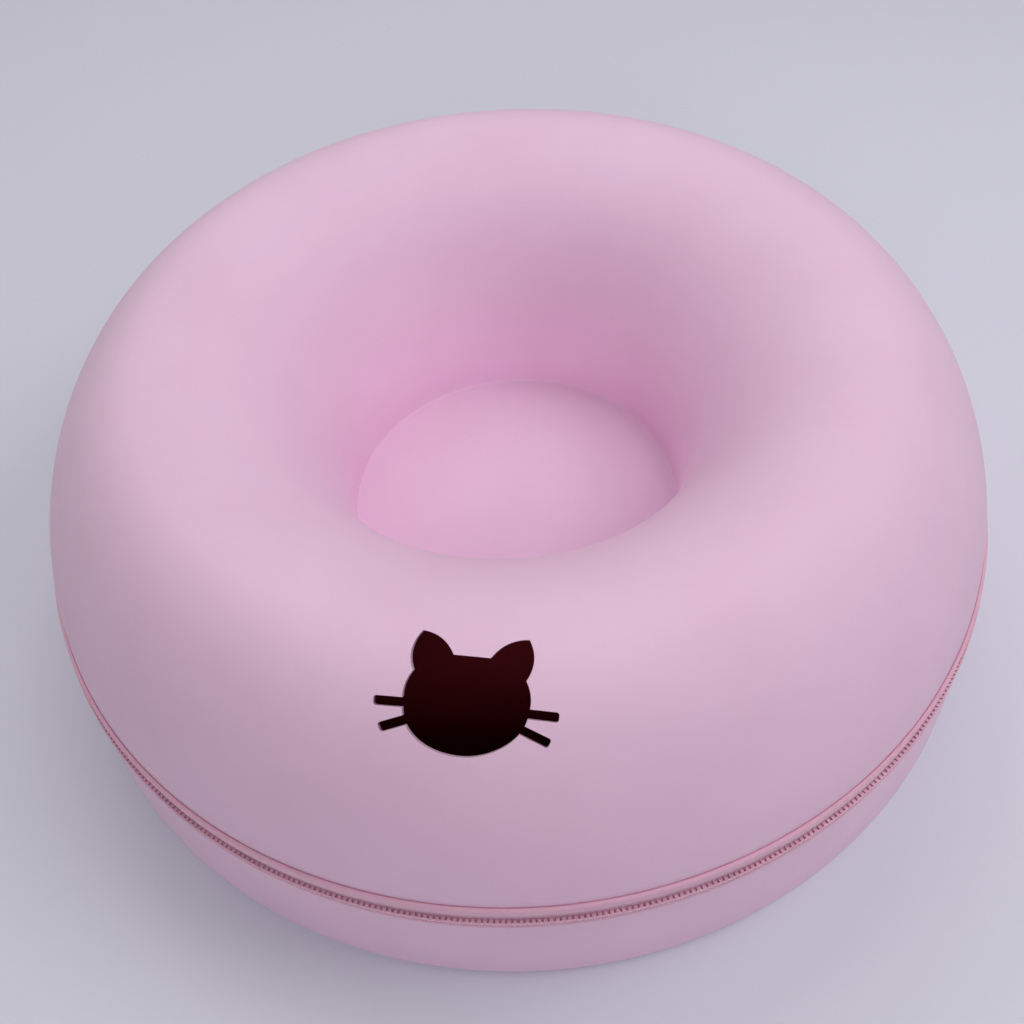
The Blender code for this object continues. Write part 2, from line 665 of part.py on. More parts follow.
def make_pull(metal, seat, pivot, slider_joint):
    """Flat pull with an eye round the bridge. Its origin is on its own hinge axis."""
    start = BRIDGE_RADIUS - BRIDGE_BAR / 2 - PULL_EYE_CLEARANCE - PULL_RIM
    wide = PULL_WIDTH / 2
    neck = PULL_NECK_WIDTH / 2
    outline = [(start, -neck), (PULL_LENGTH - wide, -wide)]
    for i in range(1, ROUND_END_STEPS):
        x, y = rotated(wide, 0, -BACK + 2 * BACK * i / ROUND_END_STEPS)
        outline.append((PULL_LENGTH - wide + x, y))
    outline += [(PULL_LENGTH - wide, wide), (start, neck)]
    half = PULL_THICKNESS / 2
    pull = new_object("pull_tab", prism(outline, -half, half), metal)
    turn = Matrix.Rotation(math.radians(BACK), 4, "X")
    place = seat @ Matrix.Translation((0, pivot, 0)) @ turn
    pull.matrix_world = place
    pull.parent = slider_joint
    pull.matrix_parent_inverse = Matrix.Translation(slider_joint.location).inverted()

    reach = BRIDGE_BAR / 2 + PULL_EYE_CLEARANCE
    high = BRIDGE_BAR_HEIGHT / 2 + PULL_EYE_CLEARANCE
    eye = [(BRIDGE_RADIUS - reach, -high), (BRIDGE_RADIUS + reach, -high),
           (BRIDGE_RADIUS + reach, high), (BRIDGE_RADIUS - reach, high)]
    hole = new_object("cutter_eye", prism(eye, -PULL_THICKNESS, PULL_THICKNESS), None)
    hole.matrix_world = place
    cut(pull, hole)
    return pull


def main():
    for obj in list(bpy.data.objects):
        bpy.data.objects.remove(obj, do_unlink=True)

    laminate = material("shell_laminate", 222, 184, 211, 0.75)
    tape = material("zip_tape", 203, 140, 164, 0.85)
    teeth = material("zip_teeth", 190, 140, 160, 0.45)
    metal = material("slider_metal", 214, 160, 182, 0.35, 0.3)
    steel = material("stop_metal", 190, 188, 190, 0.35, 0.9)
    fabric = material("hinge_fabric", 214, 172, 201, 0.85)
    touch = material("touch_fastener", 226, 196, 216, 0.95)

    lid = empty("lid_hinge", (0, HINGE_Y, ZIP_HEIGHT))
    make_upper_shell(laminate, lid)
    make_lower_shell(laminate)
    make_zip(tape, teeth, steel, lid)
    make_bindings(tape, lid)
    make_hinge(fabric, lid)
    make_fasteners(touch, lid)
    turntable = empty("slider_turntable", (0, 0, ZIP_HEIGHT))
    slider, seat, pivot = make_slider(metal, turntable)
    make_pull(metal, seat, pivot, turntable)


main()
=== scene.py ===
# %% [markdown]
# # A doughnut-shaped cat tunnel
# The real thing is two moulded shells of soft, stiffened fabric. The upper one is like
# half a doughnut with a bowl in the middle, the lower one is a shallow tray, and a zip
# joins them round the side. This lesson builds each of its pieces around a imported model
# that already has the right sizes and joints, so every length here is in metres and is
# in the same place as in that model.

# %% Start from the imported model
import math

import bmesh
import bpy
from mathutils import Matrix, Vector


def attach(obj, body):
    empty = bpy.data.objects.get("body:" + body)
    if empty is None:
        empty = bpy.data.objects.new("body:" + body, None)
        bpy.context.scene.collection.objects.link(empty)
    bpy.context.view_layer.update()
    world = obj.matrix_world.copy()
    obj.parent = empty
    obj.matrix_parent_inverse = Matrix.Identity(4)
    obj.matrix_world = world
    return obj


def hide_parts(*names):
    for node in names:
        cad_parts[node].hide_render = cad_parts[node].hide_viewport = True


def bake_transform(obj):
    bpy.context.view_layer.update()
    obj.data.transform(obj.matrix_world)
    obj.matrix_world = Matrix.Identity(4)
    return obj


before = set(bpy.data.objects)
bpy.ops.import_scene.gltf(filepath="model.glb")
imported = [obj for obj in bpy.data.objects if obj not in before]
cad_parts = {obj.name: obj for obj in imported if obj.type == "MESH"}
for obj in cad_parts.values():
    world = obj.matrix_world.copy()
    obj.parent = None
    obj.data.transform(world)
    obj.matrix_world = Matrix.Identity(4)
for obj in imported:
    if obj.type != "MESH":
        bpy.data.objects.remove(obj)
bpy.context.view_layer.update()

# %% [markdown]
# ## Where the camera stands
# The photograph was taken from in front and well above, with a normal lens held a little
# askew. A camera can be aimed with a constraint, but a matrix built from its own axes is
# exact and keeps the tilt, so the three axes are worked out one after the other.

# %% Camera
CAMERA_DISTANCE = 0.7400
CAMERA_AIM_HEIGHT = 0.0870
CAMERA_ELEVATION = math.radians(48.821)
CAMERA_YAW = 0.00446
CAMERA_PITCH = -0.04591
CAMERA_ROLL = math.radians(-4.232)
FOCAL_LENGTH = 40.46

forward = Vector((0, math.cos(CAMERA_ELEVATION), -math.sin(CAMERA_ELEVATION)))
spot = Vector((0, 0, CAMERA_AIM_HEIGHT)) - forward * CAMERA_DISTANCE
right = Vector((1, 0, 0))
yaw = Matrix.Rotation(CAMERA_YAW, 3, right.cross(forward))
forward, right = yaw @ forward, yaw @ right
forward = Matrix.Rotation(CAMERA_PITCH, 3, right) @ forward
up = right.cross(forward)
right = right * math.cos(CAMERA_ROLL) + up * math.sin(CAMERA_ROLL)
up = right.cross(forward)

lens = bpy.data.cameras.new("camera")
lens.lens = FOCAL_LENGTH
camera = bpy.data.objects.new("camera", lens)
camera.matrix_world = Matrix.Translation(spot) @ Matrix((right, up, -forward)).transposed().to_4x4()
bpy.context.scene.collection.objects.link(camera)
bpy.context.scene.camera = camera
print("camera at", tuple(round(v, 3) for v in spot))

# %% [markdown]
# ## Colours written as they look
# Blender works with light, and a picture's numbers from 0 to 255 are not light. This
# helper turns one into the other, so that a colour can be named as it is seen.

# %% Colour helper
def seen(red, green, blue):
    """Turn a colour as it looks, from 0 to 255, into the light that Blender wants."""
    light = []
    for part in (red / 255, green / 255, blue / 255):
        light.append(part / 12.92 if part <= 0.04045 else ((part + 0.055) / 1.055) ** 2.4)
    return (*light, 1.0)


print("the shell's pink as light:", [round(c, 3) for c in seen(222, 184, 211)[:3]])

# %% [markdown]
# ## Floor and light
# The tunnel stands on a plain, pale surface in a bright room. The light comes from all
# round but mostly from the right and the front, which leaves a soft shadow on the left.
# A sun lamp would draw hard shadows, so six broad area lamps stand round the tunnel.
# Each is placed by how far round it stands and how high, and is turned to the middle.

# %% Floor and lamps
FLOOR_REACH = 2.2
FLOOR_COLOUR = (218, 217, 231)
FLOOR_ROUGHNESS = 0.75
ROOM_COLOUR = (0.95, 0.96, 1.0)
ROOM_STRENGTH = 0.01
LAMP_DISTANCE = 2.3
LAMP_SIZE = 1.3
LAMPS = (
    ("front", 270, 42, 17.5),
    ("right", 0, 42, 11.9),
    ("right_high", 0, 62, 9.8),
    ("back_high", 90, 62, 13.3),
    ("back_left", 135, 42, 7.1),
    ("left_low", 180, 25, 4.6),
)

corners = [(x * FLOOR_REACH, y * FLOOR_REACH, 0) for x, y in ((-1, -1), (1, -1), (1, 1), (-1, 1))]
floor_mesh = bpy.data.meshes.new("floor")
floor_mesh.from_pydata(corners, [], [(0, 1, 2, 3)])
floor = bpy.data.objects.new("floor", floor_mesh)
bpy.context.scene.collection.objects.link(floor)
floor_finish = bpy.data.materials.new("floor")
floor_finish.use_nodes = True
floor_shader = floor_finish.node_tree.nodes["Principled BSDF"]
floor_shader.inputs["Base Color"].default_value = seen(*FLOOR_COLOUR)
floor_shader.inputs["Roughness"].default_value = FLOOR_ROUGHNESS
floor_mesh.materials.append(floor_finish)

room = bpy.data.worlds.new("room")
room.use_nodes = True
room_light = room.node_tree.nodes["Background"].inputs
room_light["Color"].default_value = (*ROOM_COLOUR, 1)
room_light["Strength"].default_value = ROOM_STRENGTH
bpy.context.scene.world = room

for name, around, high, power in LAMPS:
    lamp = bpy.data.lights.new(name, "AREA")
    lamp.size = LAMP_SIZE
    lamp.energy = power
    holder = bpy.data.objects.new(name, lamp)
    around, high = math.radians(around), math.radians(high)
    direction = Vector((math.cos(high) * math.cos(around), math.cos(high) * math.sin(around),
                        math.sin(high)))
    holder.location = direction * LAMP_DISTANCE
    holder.rotation_euler = direction.to_track_quat("Z", "Y").to_euler()
    bpy.context.scene.collection.objects.link(holder)
bpy.context.scene.view_settings.view_transform = "Standard"
print(len(LAMPS), "lamps and the room's own light")

# %% [markdown]
# ## Making a mesh
# Every piece is made the same way: points and faces worked out in plain code. One helper
# turns them into a piece, makes the faces look outwards, and shades it smooth but for
# its sharp edges. It can also note, for each corner of a face, how far along and across
# the piece that corner is, which lets a weave keep its real size. Small parts are mostly
# tubes: rings of points, joined one to the next.

# %% Mesh helper
def make_piece(name, points, faces, finishes, kinds=None, lengths=None, sharp=40):
    """A piece from points and faces. kinds picks a finish per face, lengths a place per corner."""
    mesh = bpy.data.meshes.new(name)
    mesh.from_pydata(points, [], faces)
    for finish in finishes:
        mesh.materials.append(finish)
    if kinds:
        mesh.polygons.foreach_set("material_index", kinds)
    if lengths:
        layer = mesh.uv_layers.new(name="lengths")
        layer.data.foreach_set("uv", [value for face in lengths for pair in face for value in pair])
    bm = bmesh.new()
    bm.from_mesh(mesh)
    bmesh.ops.recalc_face_normals(bm, faces=bm.faces)
    bm.to_mesh(mesh)
    bm.free()
    mesh.shade_smooth()
    mesh.set_sharp_from_angle(angle=math.radians(sharp))
    piece = bpy.data.objects.new(name, mesh)
    bpy.context.scene.collection.objects.link(piece)
    return piece


def tube(rings):
    """Points and faces of rings of points, joined one to the next and closed at both ends."""
    count = len(rings[0])
    points = [point for ring in rings for point in ring]
    faces = [tuple(range(count)), tuple(range(len(points) - count, len(points)))[::-1]]
    for a in range(0, len(points) - count, count):
        faces += [(a + i, a + (i + 1) % count, a + (i + 1) % count + count, a + i + count)
                  for i in range(count)]
    return points, faces


def gathered(parts):
    """Put several lots of points and faces together."""
    points, faces = [], []
    for more_points, more_faces in parts:
        faces += [tuple(v + len(points) for v in face) for face in more_faces]
        points += more_points
    return points, faces


print("a tube of two rings with three points each has", len(tube([[0] * 3] * 2)[1]), "faces")

# %% [markdown]
# A piece is then softened or cut. Modifiers do both well. Their result is written into
# the mesh at once, so that a cutter can be thrown away. At last the piece is fitted to
# the body it moves with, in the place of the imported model's plain one.

# %% Piece helpers
SOFT_SEGMENTS = 2


def settle(piece, sharp=None):
    """Write what its modifiers make into the piece's own mesh."""
    graph = bpy.context.evaluated_depsgraph_get()
    made = bpy.data.meshes.new_from_object(piece.evaluated_get(graph))
    piece.modifiers.clear()
    piece.data = made
    if sharp:
        made.shade_smooth()
        made.set_sharp_from_angle(angle=math.radians(sharp))
    return piece


def softened(piece, width):
    """Round off the edges of a piece by this much."""
    soften = piece.modifiers.new("soft_edges", "BEVEL")
    soften.width = width
    soften.segments = SOFT_SEGMENTS
    return settle(piece, 40)


def cut(piece, tool, sharp=None):
    """Cut a tool's shape out of a piece and take the tool away."""
    hole = piece.modifiers.new("cut", "BOOLEAN")
    hole.operation = "DIFFERENCE"
    hole.solver = "EXACT"
    hole.object = tool
    settle(piece, sharp)
    bpy.data.objects.remove(tool)


def fit(piece, body, slot, *nodes):
    """Let the piece ride on its body, in the place of the model's plain nodes."""
    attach(piece, body)
    if nodes:
        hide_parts(*nodes)
    print(piece.name, "has", len(piece.data.polygons), "faces")


print("soft edges are bent in", SOFT_SEGMENTS, "steps")

# %% [markdown]
# ## Lines that give the shells their shape
# Both shells are round, so one line from the rim to the middle describes each of them.
# A line of straight and curved stretches, moved sideways by the wall's thickness, gives
# the inner face. Cubic curves are used because four points are enough for a full, soft
# shoulder, and the same four numbers can be written down and changed.

# %% Outline helpers
def curve(start, pull_start, pull_end, end, steps):
    """Points of a cubic curve, without its first one."""
    points = []
    for i in range(1, steps + 1):
        t = i / steps
        s = 1 - t
        shares = (s ** 3, 3 * s * s * t, 3 * s * t * t, t ** 3)
        points.append(tuple(sum(w * p[k] for w, p in zip(shares, (start, pull_start, pull_end, end)))
                            for k in (0, 1)))
    return points


def rounded(before, corner, after, radius, steps):
    """Points of an arc in place of a corner."""
    a = (Vector(before) - Vector(corner)).normalized()
    b = (Vector(after) - Vector(corner)).normalized()
    half = a.angle(b) / 2
    middle = Vector(corner) + (a + b).normalized() * (radius / math.sin(half))
    start = Vector(corner) + a * (radius / math.tan(half)) - middle
    end = Vector(corner) + b * (radius / math.tan(half)) - middle
    return [tuple(middle + start.slerp(end, i / steps) * radius) for i in range(steps + 1)]


def moved_line(points, distance):
    """The same open line, moved to the left of its direction by an even distance."""
    normals = []
    for (x0, y0), (x1, y1) in zip(points, points[1:]):
        length = math.hypot(x1 - x0, y1 - y0)
        normals.append(Vector((-(y1 - y0) / length, (x1 - x0) / length)))
    moved = []
    for i, point in enumerate(points):
        a = normals[max(i - 1, 0)]
        b = normals[min(i, len(normals) - 1)]
        moved.append(tuple(Vector(point) + (a + b) / (1 + a.dot(b)) * distance))
    return moved


print("a corner rounded in three steps has", len(rounded((1, 0), (0, 0), (0, 1), 0.1, 3)), "points")

# %% [markdown]
# Turning such a line full circle makes a whole shell. A Screw modifier does it too, but
# plain code remembers which part of the line each face came from, so that the outside
# and the lining get their own finish. 240 steps leave no corners to be seen.

# %% Turned shapes
def radius_on(line, height, otherwise):
    """Radius of a line where it first passes a height."""
    for (r0, z0), (r1, z1) in zip(line, line[1:]):
        if z0 != z1 and min(z0, z1) <= height <= max(z0, z1):
            return r0 + (r1 - r0) * (height - z0) / (z1 - z0)
    return otherwise


def on_ring(radius, degrees, height):
    """A point at an angle round the ring."""
    a = math.radians(degrees)
    return (radius * math.cos(a), radius * math.sin(a), height)


def turned(outline, steps):
    """Points and faces of a closed outline turned full circle. Each face has its outline step."""
    points, rings = [], []
    for radius, height in outline:
        if radius < 1e-6:
            rings.append([len(points)] * steps)
            points.append((0, 0, height))
            continue
        rings.append(list(range(len(points), len(points) + steps)))
        points += [on_ring(radius, 360 * i / steps, height) for i in range(steps)]
    faces, owners = [], []
    for k, ring in enumerate(rings):
        other = rings[(k + 1) % len(rings)]
        if ring[0] == ring[1] and other[0] == other[1]:
            continue
        for i in range(steps):
            j = (i + 1) % steps
            face = []
            for corner in (ring[i], ring[j], other[j], other[i]):
                if corner not in face:
                    face.append(corner)
            faces.append(face)
            owners.append(k)
    return points, faces, owners


WALL = 0.005
WALL_RADIUS = 0.289
ZIP_HEIGHT = 0.072
RING_STEPS = 240
print("the ring's wall stands", round(WALL_RADIUS * 1000, 1), "mm from the middle")

# %% [markdown]
# ## Finishes
# A finish is a small net of nodes, and a few helpers lay it out. Noise gives a grain,
# scattered points give pores or tufts, and either can choose between two colours or
# raise the surface. A painted picture could not be looked at from so close. Both are
# laid out in the piece's own space, so they keep their real size and move with the lid.

# %% Finish helpers
def new_finish(name, colour, roughness, metallic=0.0, sheen=0.0):
    """A material with one Principled shader, and a short way to add nodes to it."""
    finish = bpy.data.materials.new(name)
    finish.use_nodes = True
    tree = finish.node_tree
    shader = tree.nodes["Principled BSDF"]
    shader.inputs["Base Color"].default_value = seen(*colour)
    shader.inputs["Roughness"].default_value = roughness
    shader.inputs["Metallic"].default_value = metallic
    shader.inputs["Sheen Weight"].default_value = sheen
    shader.inputs["Sheen Roughness"].default_value = 0.6

    def add(kind, settings=None, **inputs):
        node = tree.nodes.new(kind)
        for key, value in (settings or {}).items():
            setattr(node, key, value)
        for key, value in inputs.items():
            socket = node.inputs[int(key[1:]) if key[1:].isdigit() else key]
            if isinstance(value, bpy.types.NodeSocket):
                tree.links.new(value, socket)
            else:
                socket.default_value = value
        return node

    def join(output, socket):
        tree.links.new(output, shader.inputs[socket])

    return finish, add, join


def grain(add, scale, detail=3.0, rough=0.55):
    """Noise in the piece's own space. Its scale is in grains per metre."""
    place = add("ShaderNodeTexCoord").outputs["Object"]
    noise = add("ShaderNodeTexNoise", None, Vector=place, Scale=scale, Detail=detail, Roughness=rough)
    return noise.outputs["Fac"]


def spots(add, scale):
    """The distance to the nearest of many scattered points. Its scale is in points per metre."""
    place = add("ShaderNodeTexCoord").outputs["Object"]
    return add("ShaderNodeTexVoronoi", None, Vector=place, Scale=scale).outputs["Distance"]


def worked(add, operation, *values):
    """The result of one step of arithmetic on factors or numbers."""
    inputs = {"i" + str(n): value for n, value in enumerate(values)}
    return add("ShaderNodeMath", {"operation": operation}, **inputs).outputs[0]


def raised(add, join, height, strength, depth):
    """Let a factor raise the surface, by up to depth metres."""
    bump = add("ShaderNodeBump", None, Height=height, Strength=strength, Distance=depth)
    join(bump.outputs["Normal"], "Normal")


def two_tone(add, factor, dark, light, low=0.35, high=0.65):
    """Let a factor choose between two colours, spread over the given part of its range."""
    ramp = add("ShaderNodeValToRGB", None, Fac=factor)
    ramp.color_ramp.elements[0].position = low
    ramp.color_ramp.elements[0].color = seen(*dark)
    ramp.color_ramp.elements[1].position = high
    ramp.color_ramp.elements[1].color = seen(*light)
    return ramp.outputs["Color"]


print("finishes made so far:", len(bpy.data.materials))

# %% [markdown]
# ## The laminate
# The shells are pressed from foam board with a thin felted cloth on both faces. From a
# step away that looks even and dull. Close up it has a fine, soft grain and its colour
# wanders a little. Noise at three sizes gives this: a slow one for the colour, a fine
# one for the nap, and a very fine one for the fibres.

# %% Laminate finish
def laminate(name, dark, light, roughness=0.8, sheen=0.15, relief=0.00006):
    """Felted cloth on foam board: slow change of colour, fine nap."""
    finish, add, join = new_finish(name, light, roughness, sheen=sheen)
    join(two_tone(add, grain(add, 14, 4), dark, light), "Base Color")
    nap = worked(add, "ADD", grain(add, 700, 2), grain(add, 2600, 2, 0.7))
    raised(add, join, nap, 0.35, relief)
    return finish


outer_cloth = laminate("laminate_pink", (233, 194, 221), (236, 198, 225))
# The lining is coloured dark maroon as painted shade: it darkens the inside of the tunnel, which shows
# through the peephole.
painted_shade_lining = laminate("laminate_lining_painted_shade", (166, 38, 52), (174, 44, 58), 0.9, 0.1)

core_foam, add, join = new_finish("laminate_core", (214, 176, 200), 0.9)
pores = spots(add, 1400.0)
# The sunken pores are coloured darker: painted shade in the hollows.
join(two_tone(add, pores, (186, 142, 170), (216, 180, 203), 0.1, 0.5), "Base Color")
raised(add, join, pores, 0.5, 0.0002)
print("three finishes for the laminate: outside, lining and cut edge")

# %% [markdown]
# ## The upper shell
# One moulding makes the outer wall, the full shoulder, the crown, the bowl and its flat
# floor. Turning its outline gives a perfectly smooth form with few points to look after,
# where a subdivided cage would round the crease at the bowl's floor too much.

# %% Upper shell
TOP = 0.200
RIM_TOP = ZIP_HEIGHT + 0.005
WALL_TOP = 0.088
CROWN_RADIUS = 0.206
BOWL_FLOOR_RADIUS = 0.106
BOWL_FLOOR = 0.052
BOWL_CREASE = 0.0012
RIM_ROUNDING = 0.0012
SHOULDER_LEAN, SHOULDER_RISE, SHOULDER_CROWN = 0.067, 0.456, 0.461
BOWL_CROWN, BOWL_DROP = 0.37, 0.82
LINE_STEPS = 34


def upper_line():
    """Outer face of the upper shell, from its rim to the axis."""
    rise = TOP - WALL_TOP
    width = WALL_RADIUS - CROWN_RADIUS
    wall_top = (WALL_RADIUS, WALL_TOP)
    crown = (CROWN_RADIUS, TOP)
    floor_edge = (BOWL_FLOOR_RADIUS, BOWL_FLOOR)
    line = [(WALL_RADIUS, RIM_TOP), (WALL_RADIUS, RIM_TOP + 0.005), wall_top]
    line += curve(wall_top, (WALL_RADIUS - width * SHOULDER_LEAN, WALL_TOP + rise * SHOULDER_RISE),
                  (CROWN_RADIUS + width * SHOULDER_CROWN, TOP), crown, LINE_STEPS)
    line += curve(crown, (CROWN_RADIUS - (CROWN_RADIUS - BOWL_FLOOR_RADIUS) * BOWL_CROWN, TOP),
                  (BOWL_FLOOR_RADIUS, BOWL_FLOOR + (TOP - BOWL_FLOOR) * BOWL_DROP), floor_edge,
                  LINE_STEPS)[:-1]
    line += rounded(line[-1], floor_edge, (0, BOWL_FLOOR), BOWL_CREASE, 6)
    return line + [(BOWL_FLOOR_RADIUS * share, BOWL_FLOOR) for share in (0.8, 0.5, 0.2, 0)]


def shell_outline(line, thickness):
    """Close a shell's outline with its inner face and rounded rim, and count its outer points."""
    inner = moved_line(line, thickness)
    inner[-1] = (0, inner[-1][1])
    rim_outer = rounded(line[1], line[0], inner[0], RIM_ROUNDING, 3)
    rim_inner = rounded(line[0], inner[0], inner[1], RIM_ROUNDING, 3)
    outside = rim_outer[::-1] + line[1:]
    return outside + inner[:0:-1] + rim_inner[::-1], len(outside)


upper_outer = upper_line()
upper_inner = moved_line(upper_outer, WALL)
outline, outside_count = shell_outline(upper_outer, WALL)
points, faces, owners = turned(outline, RING_STEPS)
upper_shell = make_piece("upper_shell_skin", points, faces, [outer_cloth, painted_shade_lining, core_foam],
                         [0 if k < outside_count - 1 else 1 for k in owners])
print("upper shell turned from", len(outline), "points")

# %% [markdown]
# ## The cat's head and the doorway
# The peephole is a die-cut cat's head with two whiskers on each side, and the doorway at
# the back is an oval. Both are cut square to the cloth, with an edge that is just broken
# by the knife. A Boolean is the natural way, because it leaves the smooth shell alone
# elsewhere. The cutter is not a plain prism: its sides open out where they pass the two
# faces of the shell, and this leaves the small chamfer.

# %% Outline of the cat's head
FACE_WIDTH = 0.057
FACE_TOP = 0.0206
FACE_MIDDLE = -0.003
FACE_CHIN = -0.0248
FACE_LEAN = 0.04
FACE_TOP_HALF = 0.0085
EAR_FOOT = (0.0257, 0.0121)
EAR_TIP = (0.0246, 0.0300)
EAR_INNER_SWELL, EAR_OUTER_SWELL, CHEEK_SWELL = -0.0024, -0.0028, -0.0016
CHIN_POWERS = (1.85, 2.1)


def bowed(start, end, swell, steps):
    """Points of a shallow arc that swells to the right of its direction."""
    along = Vector(end) - Vector(start)
    side = Vector((along.y, -along.x)).normalized()
    return [tuple(Vector(start) + along * t + side * swell * 4 * t * (1 - t))
            for t in (i / steps for i in range(1, steps + 1))]


def head_side(power):
    """The right half of the head, from the middle of its top down to the chin."""
    half = FACE_WIDTH / 2
    side = [(FACE_TOP_HALF, FACE_TOP)]
    side += bowed(side[-1], EAR_TIP, EAR_INNER_SWELL, 10)
    side += bowed(EAR_TIP, EAR_FOOT, EAR_OUTER_SWELL, 10)
    side += bowed(EAR_FOOT, (half, FACE_MIDDLE), CHEEK_SWELL, 8)
    for i in range(1, 28):
        a = math.radians(90 * i / 28)
        side.append((half * math.cos(a) ** (2 / power),
                     FACE_MIDDLE - (FACE_MIDDLE - FACE_CHIN) * math.sin(a) ** (2 / power)))
    return side


def cat_head():
    """The head without whiskers, anticlockwise. It leans, and its chin is fuller on the left."""
    right, left = (head_side(power) for power in CHIN_POWERS)
    whole = right + [(0, FACE_CHIN)] + [(-x, y) for x, y in reversed(left)]
    return [(x + y * FACE_LEAN, y) for x, y in whole[::-1]]


head = cat_head()
print("the head without its whiskers has", len(head), "points")

# %% [markdown]
# Each whisker is a slot that starts inside the head and has rounded corners at its end.
# It is worked into the outline where it crosses it. That leaves one clean closed line,
# which cuts better than several cutters that overlap.

# %% Whisker slots
WHISKER_WIDTH = 0.0045
WHISKER_CORNER = 0.0013
WHISKER_ROOT = 0.020
WHISKERS = ((0.0421, -0.0023, -0.0028), (0.0388, -0.0076, -0.0150))
SLOT_CLEARANCE = 0.0008


def whisker(side, end_x, root_y, end_y):
    """A slot with rounded corners at its end, as an open path out along one edge and back."""
    root = Vector((side * WHISKER_ROOT, root_y))
    end = Vector((side * end_x, end_y))
    along = (end - root).normalized()
    across = Vector((-along.y, along.x))
    half = WHISKER_WIDTH / 2
    tip = []
    for edge, first in ((-1, -90), (1, 0)):
        middle = end - along * WHISKER_CORNER + across * edge * (half - WHISKER_CORNER)
        for i in range(6):
            a = math.radians(first + 18 * i)
            tip.append(middle + (along * math.cos(a) + across * math.sin(a)) * WHISKER_CORNER)
    return [root - across * half] + tip + [root + across * half]


def crossing(a, b, c, d):
    """Where the stretch from a to b crosses the one from c to d, as a share of a to b and a point."""
    r, s = b - a, d - c
    turn = r.cross(s)
    if abs(turn) < 1e-12:
        return None
    t = (c - a).cross(s) / turn
    u = (c - a).cross(r) / turn
    return (t, a + r * t) if 0 <= t <= 1 and 0 <= u <= 1 else None


def with_slot(outline, path):
    """Add a slot to a closed anticlockwise outline, where the slot's path leaves and enters it."""
    ring = [Vector(p) for p in outline]
    hits = []
    for first, second in ((path[0], path[1]), (path[-1], path[-2])):
        for i, start in enumerate(ring):
            found = crossing(start, ring[(i + 1) % len(ring)], first, second)
            if found:
                hits.append((i + found[0], found[1]))
                break
    (leave, out_point), (back, in_point) = hits
    tip = path[1:-1]
    last = math.floor(leave) + (len(ring) if leave < back else 0)
    keep = [ring[i % len(ring)] for i in range(math.floor(back) + 1, last + 1)]
    keep = [p for p in keep if min((p - out_point).length, (p - in_point).length) > SLOT_CLEARANCE]
    return [tuple(p) for p in keep + [out_point] + tip + [in_point]]


for side in (-1, 1):
    for sizes in WHISKERS:
        head = with_slot(head, whisker(side, *sizes))
print("the head's outline has", len(head), "points")

# %% [markdown]
# Long straight stretches would cut the curved shell along a chord, so they are divided
# first. An outline can also be spread by an even distance, for the chamfer.

# %% Outlines for cutting
CUT_STEP = 0.0016


def divided(outline, longest):
    """Add points to a closed outline so that no stretch is longer than this."""
    fine = []
    for start, end in zip(outline, outline[1:] + outline[:1]):
        parts = max(1, math.ceil(math.dist(start, end) / longest))
        fine += [tuple(Vector(start).lerp(Vector(end), i / parts)) for i in range(parts)]
    return fine


def spread_outline(outline, distance):
    """Move a closed anticlockwise outline outwards."""
    wide = []
    count = len(outline)
    for i, point in enumerate(outline):
        a = (Vector(point) - Vector(outline[i - 1])).normalized()
        b = (Vector(outline[(i + 1) % count]) - Vector(point)).normalized()
        normal = (Vector((a.y, -a.x)) + Vector((b.y, -b.x)))
        reach = max(1 + a.dot(b), 0.5)
        wide.append(tuple(Vector(point) + normal / reach * distance))
    return wide


print("divided, the head's outline has", len(divided(head, CUT_STEP)), "points")

# %% [markdown]
# Each hole has a place: a point by radius, angle and height, how steeply the cutter looks
# up, and how far it is turned. The cutter finds, for each of its points, how deep the two
# faces of the shell lie below it, so the chamfer is even although the shell is curved.

# %% Cut the holes
FACE_PLACE = (0.2337, -97.2, 0.1892, 55.0, -3.3)
DOORWAY_PLACE = (0.272, 90.0, 0.140, 27.0, 0.0)
DOORWAY_SIZE = (0.165, 0.104)
KNIFE_EDGE = 0.0003
CUTTER_TOP, CUTTER_BOTTOM = 0.05, -0.06
HIGHEST, DEEPEST = 0.06, -0.09
CROWN_REACH = 0.001


def cutter(name, outline, place):
    """A plug through the shell that opens out a little at both faces."""
    radius, angle, height, elevation, turn = place
    tilt = math.radians(elevation)
    normal = Vector(on_ring(math.cos(tilt), angle, math.sin(tilt)))
    slope = Vector(on_ring(-math.sin(tilt), angle, math.cos(tilt)))
    basis = Matrix((slope.cross(normal), slope, normal)).transposed().to_4x4()
    placed = Matrix.Translation(on_ring(radius, angle, height)) @ basis
    placed = placed @ Matrix.Rotation(math.radians(turn), 4, "Z")

    def depth(point, line):
        """How high over the cutter's middle a shell's face is, found by halving the range."""
        shoulder = [p for p in line if p[0] >= CROWN_RADIUS - CROWN_REACH]
        high, low = HIGHEST, DEEPEST
        for _ in range(26):
            middle = (high + low) / 2
            spot = placed @ Vector((*point, middle))
            beyond = 0.0 if spot.z > shoulder[-1][1] else shoulder[0][0]
            if math.hypot(spot.x, spot.y) > radius_on(shoulder, spot.z, beyond):
                high = middle
            else:
                low = middle
        return (high + low) / 2

    fine = divided(outline, CUT_STEP)
    edge = KNIFE_EDGE
    levels = ((None, CUTTER_TOP, edge), (upper_outer, edge * 0.6, edge), (upper_outer, -edge, 0.0),
              (upper_inner, edge, 0.0), (upper_inner, -edge * 0.6, edge), (None, CUTTER_BOTTOM, edge))
    rings = []
    for face_line, above, spread in levels:
        ring = [(x, y, depth((x, y), face_line) + above if face_line else above)
                for x, y in spread_outline(fine, spread)]
        rings.append([tuple(placed @ Vector(point)) for point in ring])
    points, faces = tube(rings)
    return make_piece(name, points, faces, [outer_cloth, painted_shade_lining, core_foam], [2] * len(faces))


